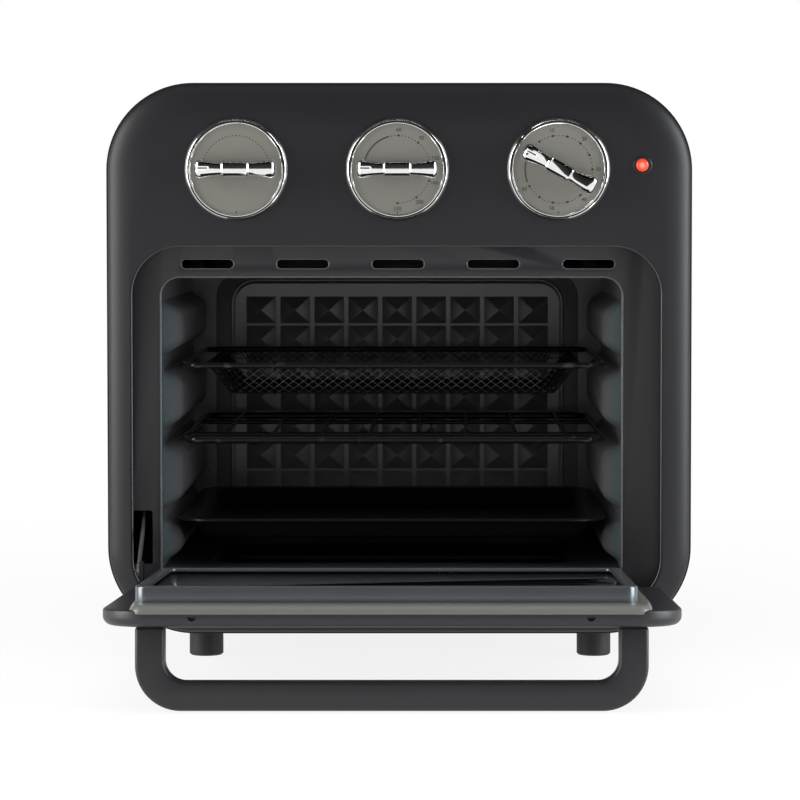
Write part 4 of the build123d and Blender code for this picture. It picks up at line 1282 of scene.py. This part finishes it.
def glass_border():
    """The raised frame on the door's inner face."""
    y = (DOOR_Y[1], DOOR_Y[1] + BORDER_RISE)
    border = rounded("glass_border", GLASS_X, y, GLASS_Z, 7.4, segments=8)
    open_glass(border)
    hole(border, within(GLASS_X, 3), (16.1, 20.1), within(GLASS_Z, 3), 5.0, 6)
    return soften(border, 0.9, 3, 50.0)


def loop_handle(bar):
    """A squared loop: two arms that stand out from the door, and the bar between them."""
    front, back, spare = HANDLE_FRONT, DOOR_Y[0], 40
    handle = rounded("handle_loop", HANDLE_X, (front, back + spare), HANDLE_Z, 26.0, "Z", 14)
    gap_x, gap_y = within(HANDLE_X, bar), (front + bar, back + spare)
    hole(handle, gap_x, gap_y, within(HANDLE_Z, -5), 12.0, 10, "Z")
    cut(handle, block("tool", (-200, 200), (back, 90), (200, 290)))
    return soften(handle, 2.2, 4, 50.0)


class OVEN_OT_door(bpy.types.Operator):
    """Builds the door plate, its glass and frame, and the loop handle."""

    bl_idname = "oven.door"
    bl_label = "Door"

    def execute(self, context):
        inner = rounded(
            "inner_pane", within(GLASS_X, 3.5), (16.2, 20.0), within(GLASS_Z, 3.5), 4.4, segments=6)
        outer = rounded("outer_pane", PANE_X, (2.4, 5.5), PANE_Z, 11.8, segments=10)
        soften(inner, 0.5, 2, 50.0)
        soften(outer, 0.4, 2, 50.0)
        parts = (
            (door_plate(), "door_satin", "door_plastic", ["door_panel"]),
            (door_step(), "step_paint", "door_plastic", []),
            (glass_border(), "glass_frame_paint", "glass_frame_metal", ["door_glass_frame"]),
            (inner, "door_pane", "door_glass", ["door_inner_glass"]),
            (outer, "door_pane", "door_glass", ["door_outer_glass"]),
            (loop_handle(context.scene.oven_sizes.handle_bar / MM), "door_satin", "door_plastic",
             ["door_handle"]))
        for piece, finish, slot, nodes in parts:
            turn(spot(0.0, *HINGE), (math.radians(DOOR_OPEN), 0.0, 0.0), piece)
            fit(smooth(piece), finish, slot, *nodes, body="door")
        dress_nodes("zinc", "hinge_pins")
        dress_nodes("dark_steel", "handle_screws", "lever_lug")
        return {"FINISHED"}


class OVEN_OT_fittings(bpy.types.Operator):
    """Gives the feet, rear cover, heaters and works their finishes."""

    bl_idname = "oven.fittings"
    bl_label = "Feet, back and works"

    def execute(self, context):
        finishes = {
            "case_satin": ("rear_cover", "base_plate"),
            "foot_plastic_black": ("feet",),
            "zinc": (
                "cover_screws", "foot_screws", "hinge_lever", "lever_spring", "motor_bracket",
                "fan_shaft"),
            "dark_steel": ("hinge_brackets",),
            "rubber": ("cord_gland",),
            "control_body_white": ("selector_switch", "timer_unit", "terminal_block", "lamp_body"),
            "thermostat_metal": ("thermostat", "thermostat_bulb"),
            "bell_metal": ("timer_bell",),
            "heater_metal": (
                "upper_front_heater", "upper_rear_heater", "lower_front_heater", "lower_rear_heater"),
            "ceramic": ("heater_insulators",),
            "motor_metal": ("fan_motor",),
            "fan_metal": ("fan_wheel",),
            "rack_wire": ("fan_guard",),
        }
        for name, nodes in finishes.items():
            dress_nodes(name, *nodes)
        return {"FINISHED"}


class OVEN_PT_panel(bpy.types.Panel):
    """Lists the oven's steps in the sidebar."""

    bl_idname = "OVEN_PT_panel"
    bl_label = "Mini Oven"
    bl_space_type = "VIEW_3D"
    bl_region_type = "UI"
    bl_category = "Oven"

    def draw(self, context):
        for step in STEPS:
            self.layout.operator(step.bl_idname)
        for group in (context.scene.oven_sizes, context.scene.oven_colours):
            for key in group.bl_rna.properties.keys():
                if key not in ("rna_type", "name"):
                    self.layout.prop(group, key)


STEPS = (
    OVEN_OT_stage, OVEN_OT_case, OVEN_OT_front_plate, OVEN_OT_cavity, OVEN_OT_dials, OVEN_OT_grips,
    OVEN_OT_lamp, OVEN_OT_basket, OVEN_OT_rack, OVEN_OT_tray, OVEN_OT_door, OVEN_OT_fittings)
CLASSES = (OvenSizes, OvenColours, *STEPS, OVEN_PT_panel)


def register():
    for kind in CLASSES:
        bpy.utils.register_class(kind)
    bpy.types.Scene.oven_sizes = bpy.props.PointerProperty(type=OvenSizes)
    bpy.types.Scene.oven_colours = bpy.props.PointerProperty(type=OvenColours)


def unregister():
    del bpy.types.Scene.oven_colours
    del bpy.types.Scene.oven_sizes
    for kind in reversed(CLASSES):
        bpy.utils.unregister_class(kind)


def main():
    """Registers the add-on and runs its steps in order."""
    register()
    for step in STEPS:
        group, name = step.bl_idname.split(".")
        getattr(getattr(bpy.ops, group), name)()
    rest()


if __name__ == "__main__":
    main()
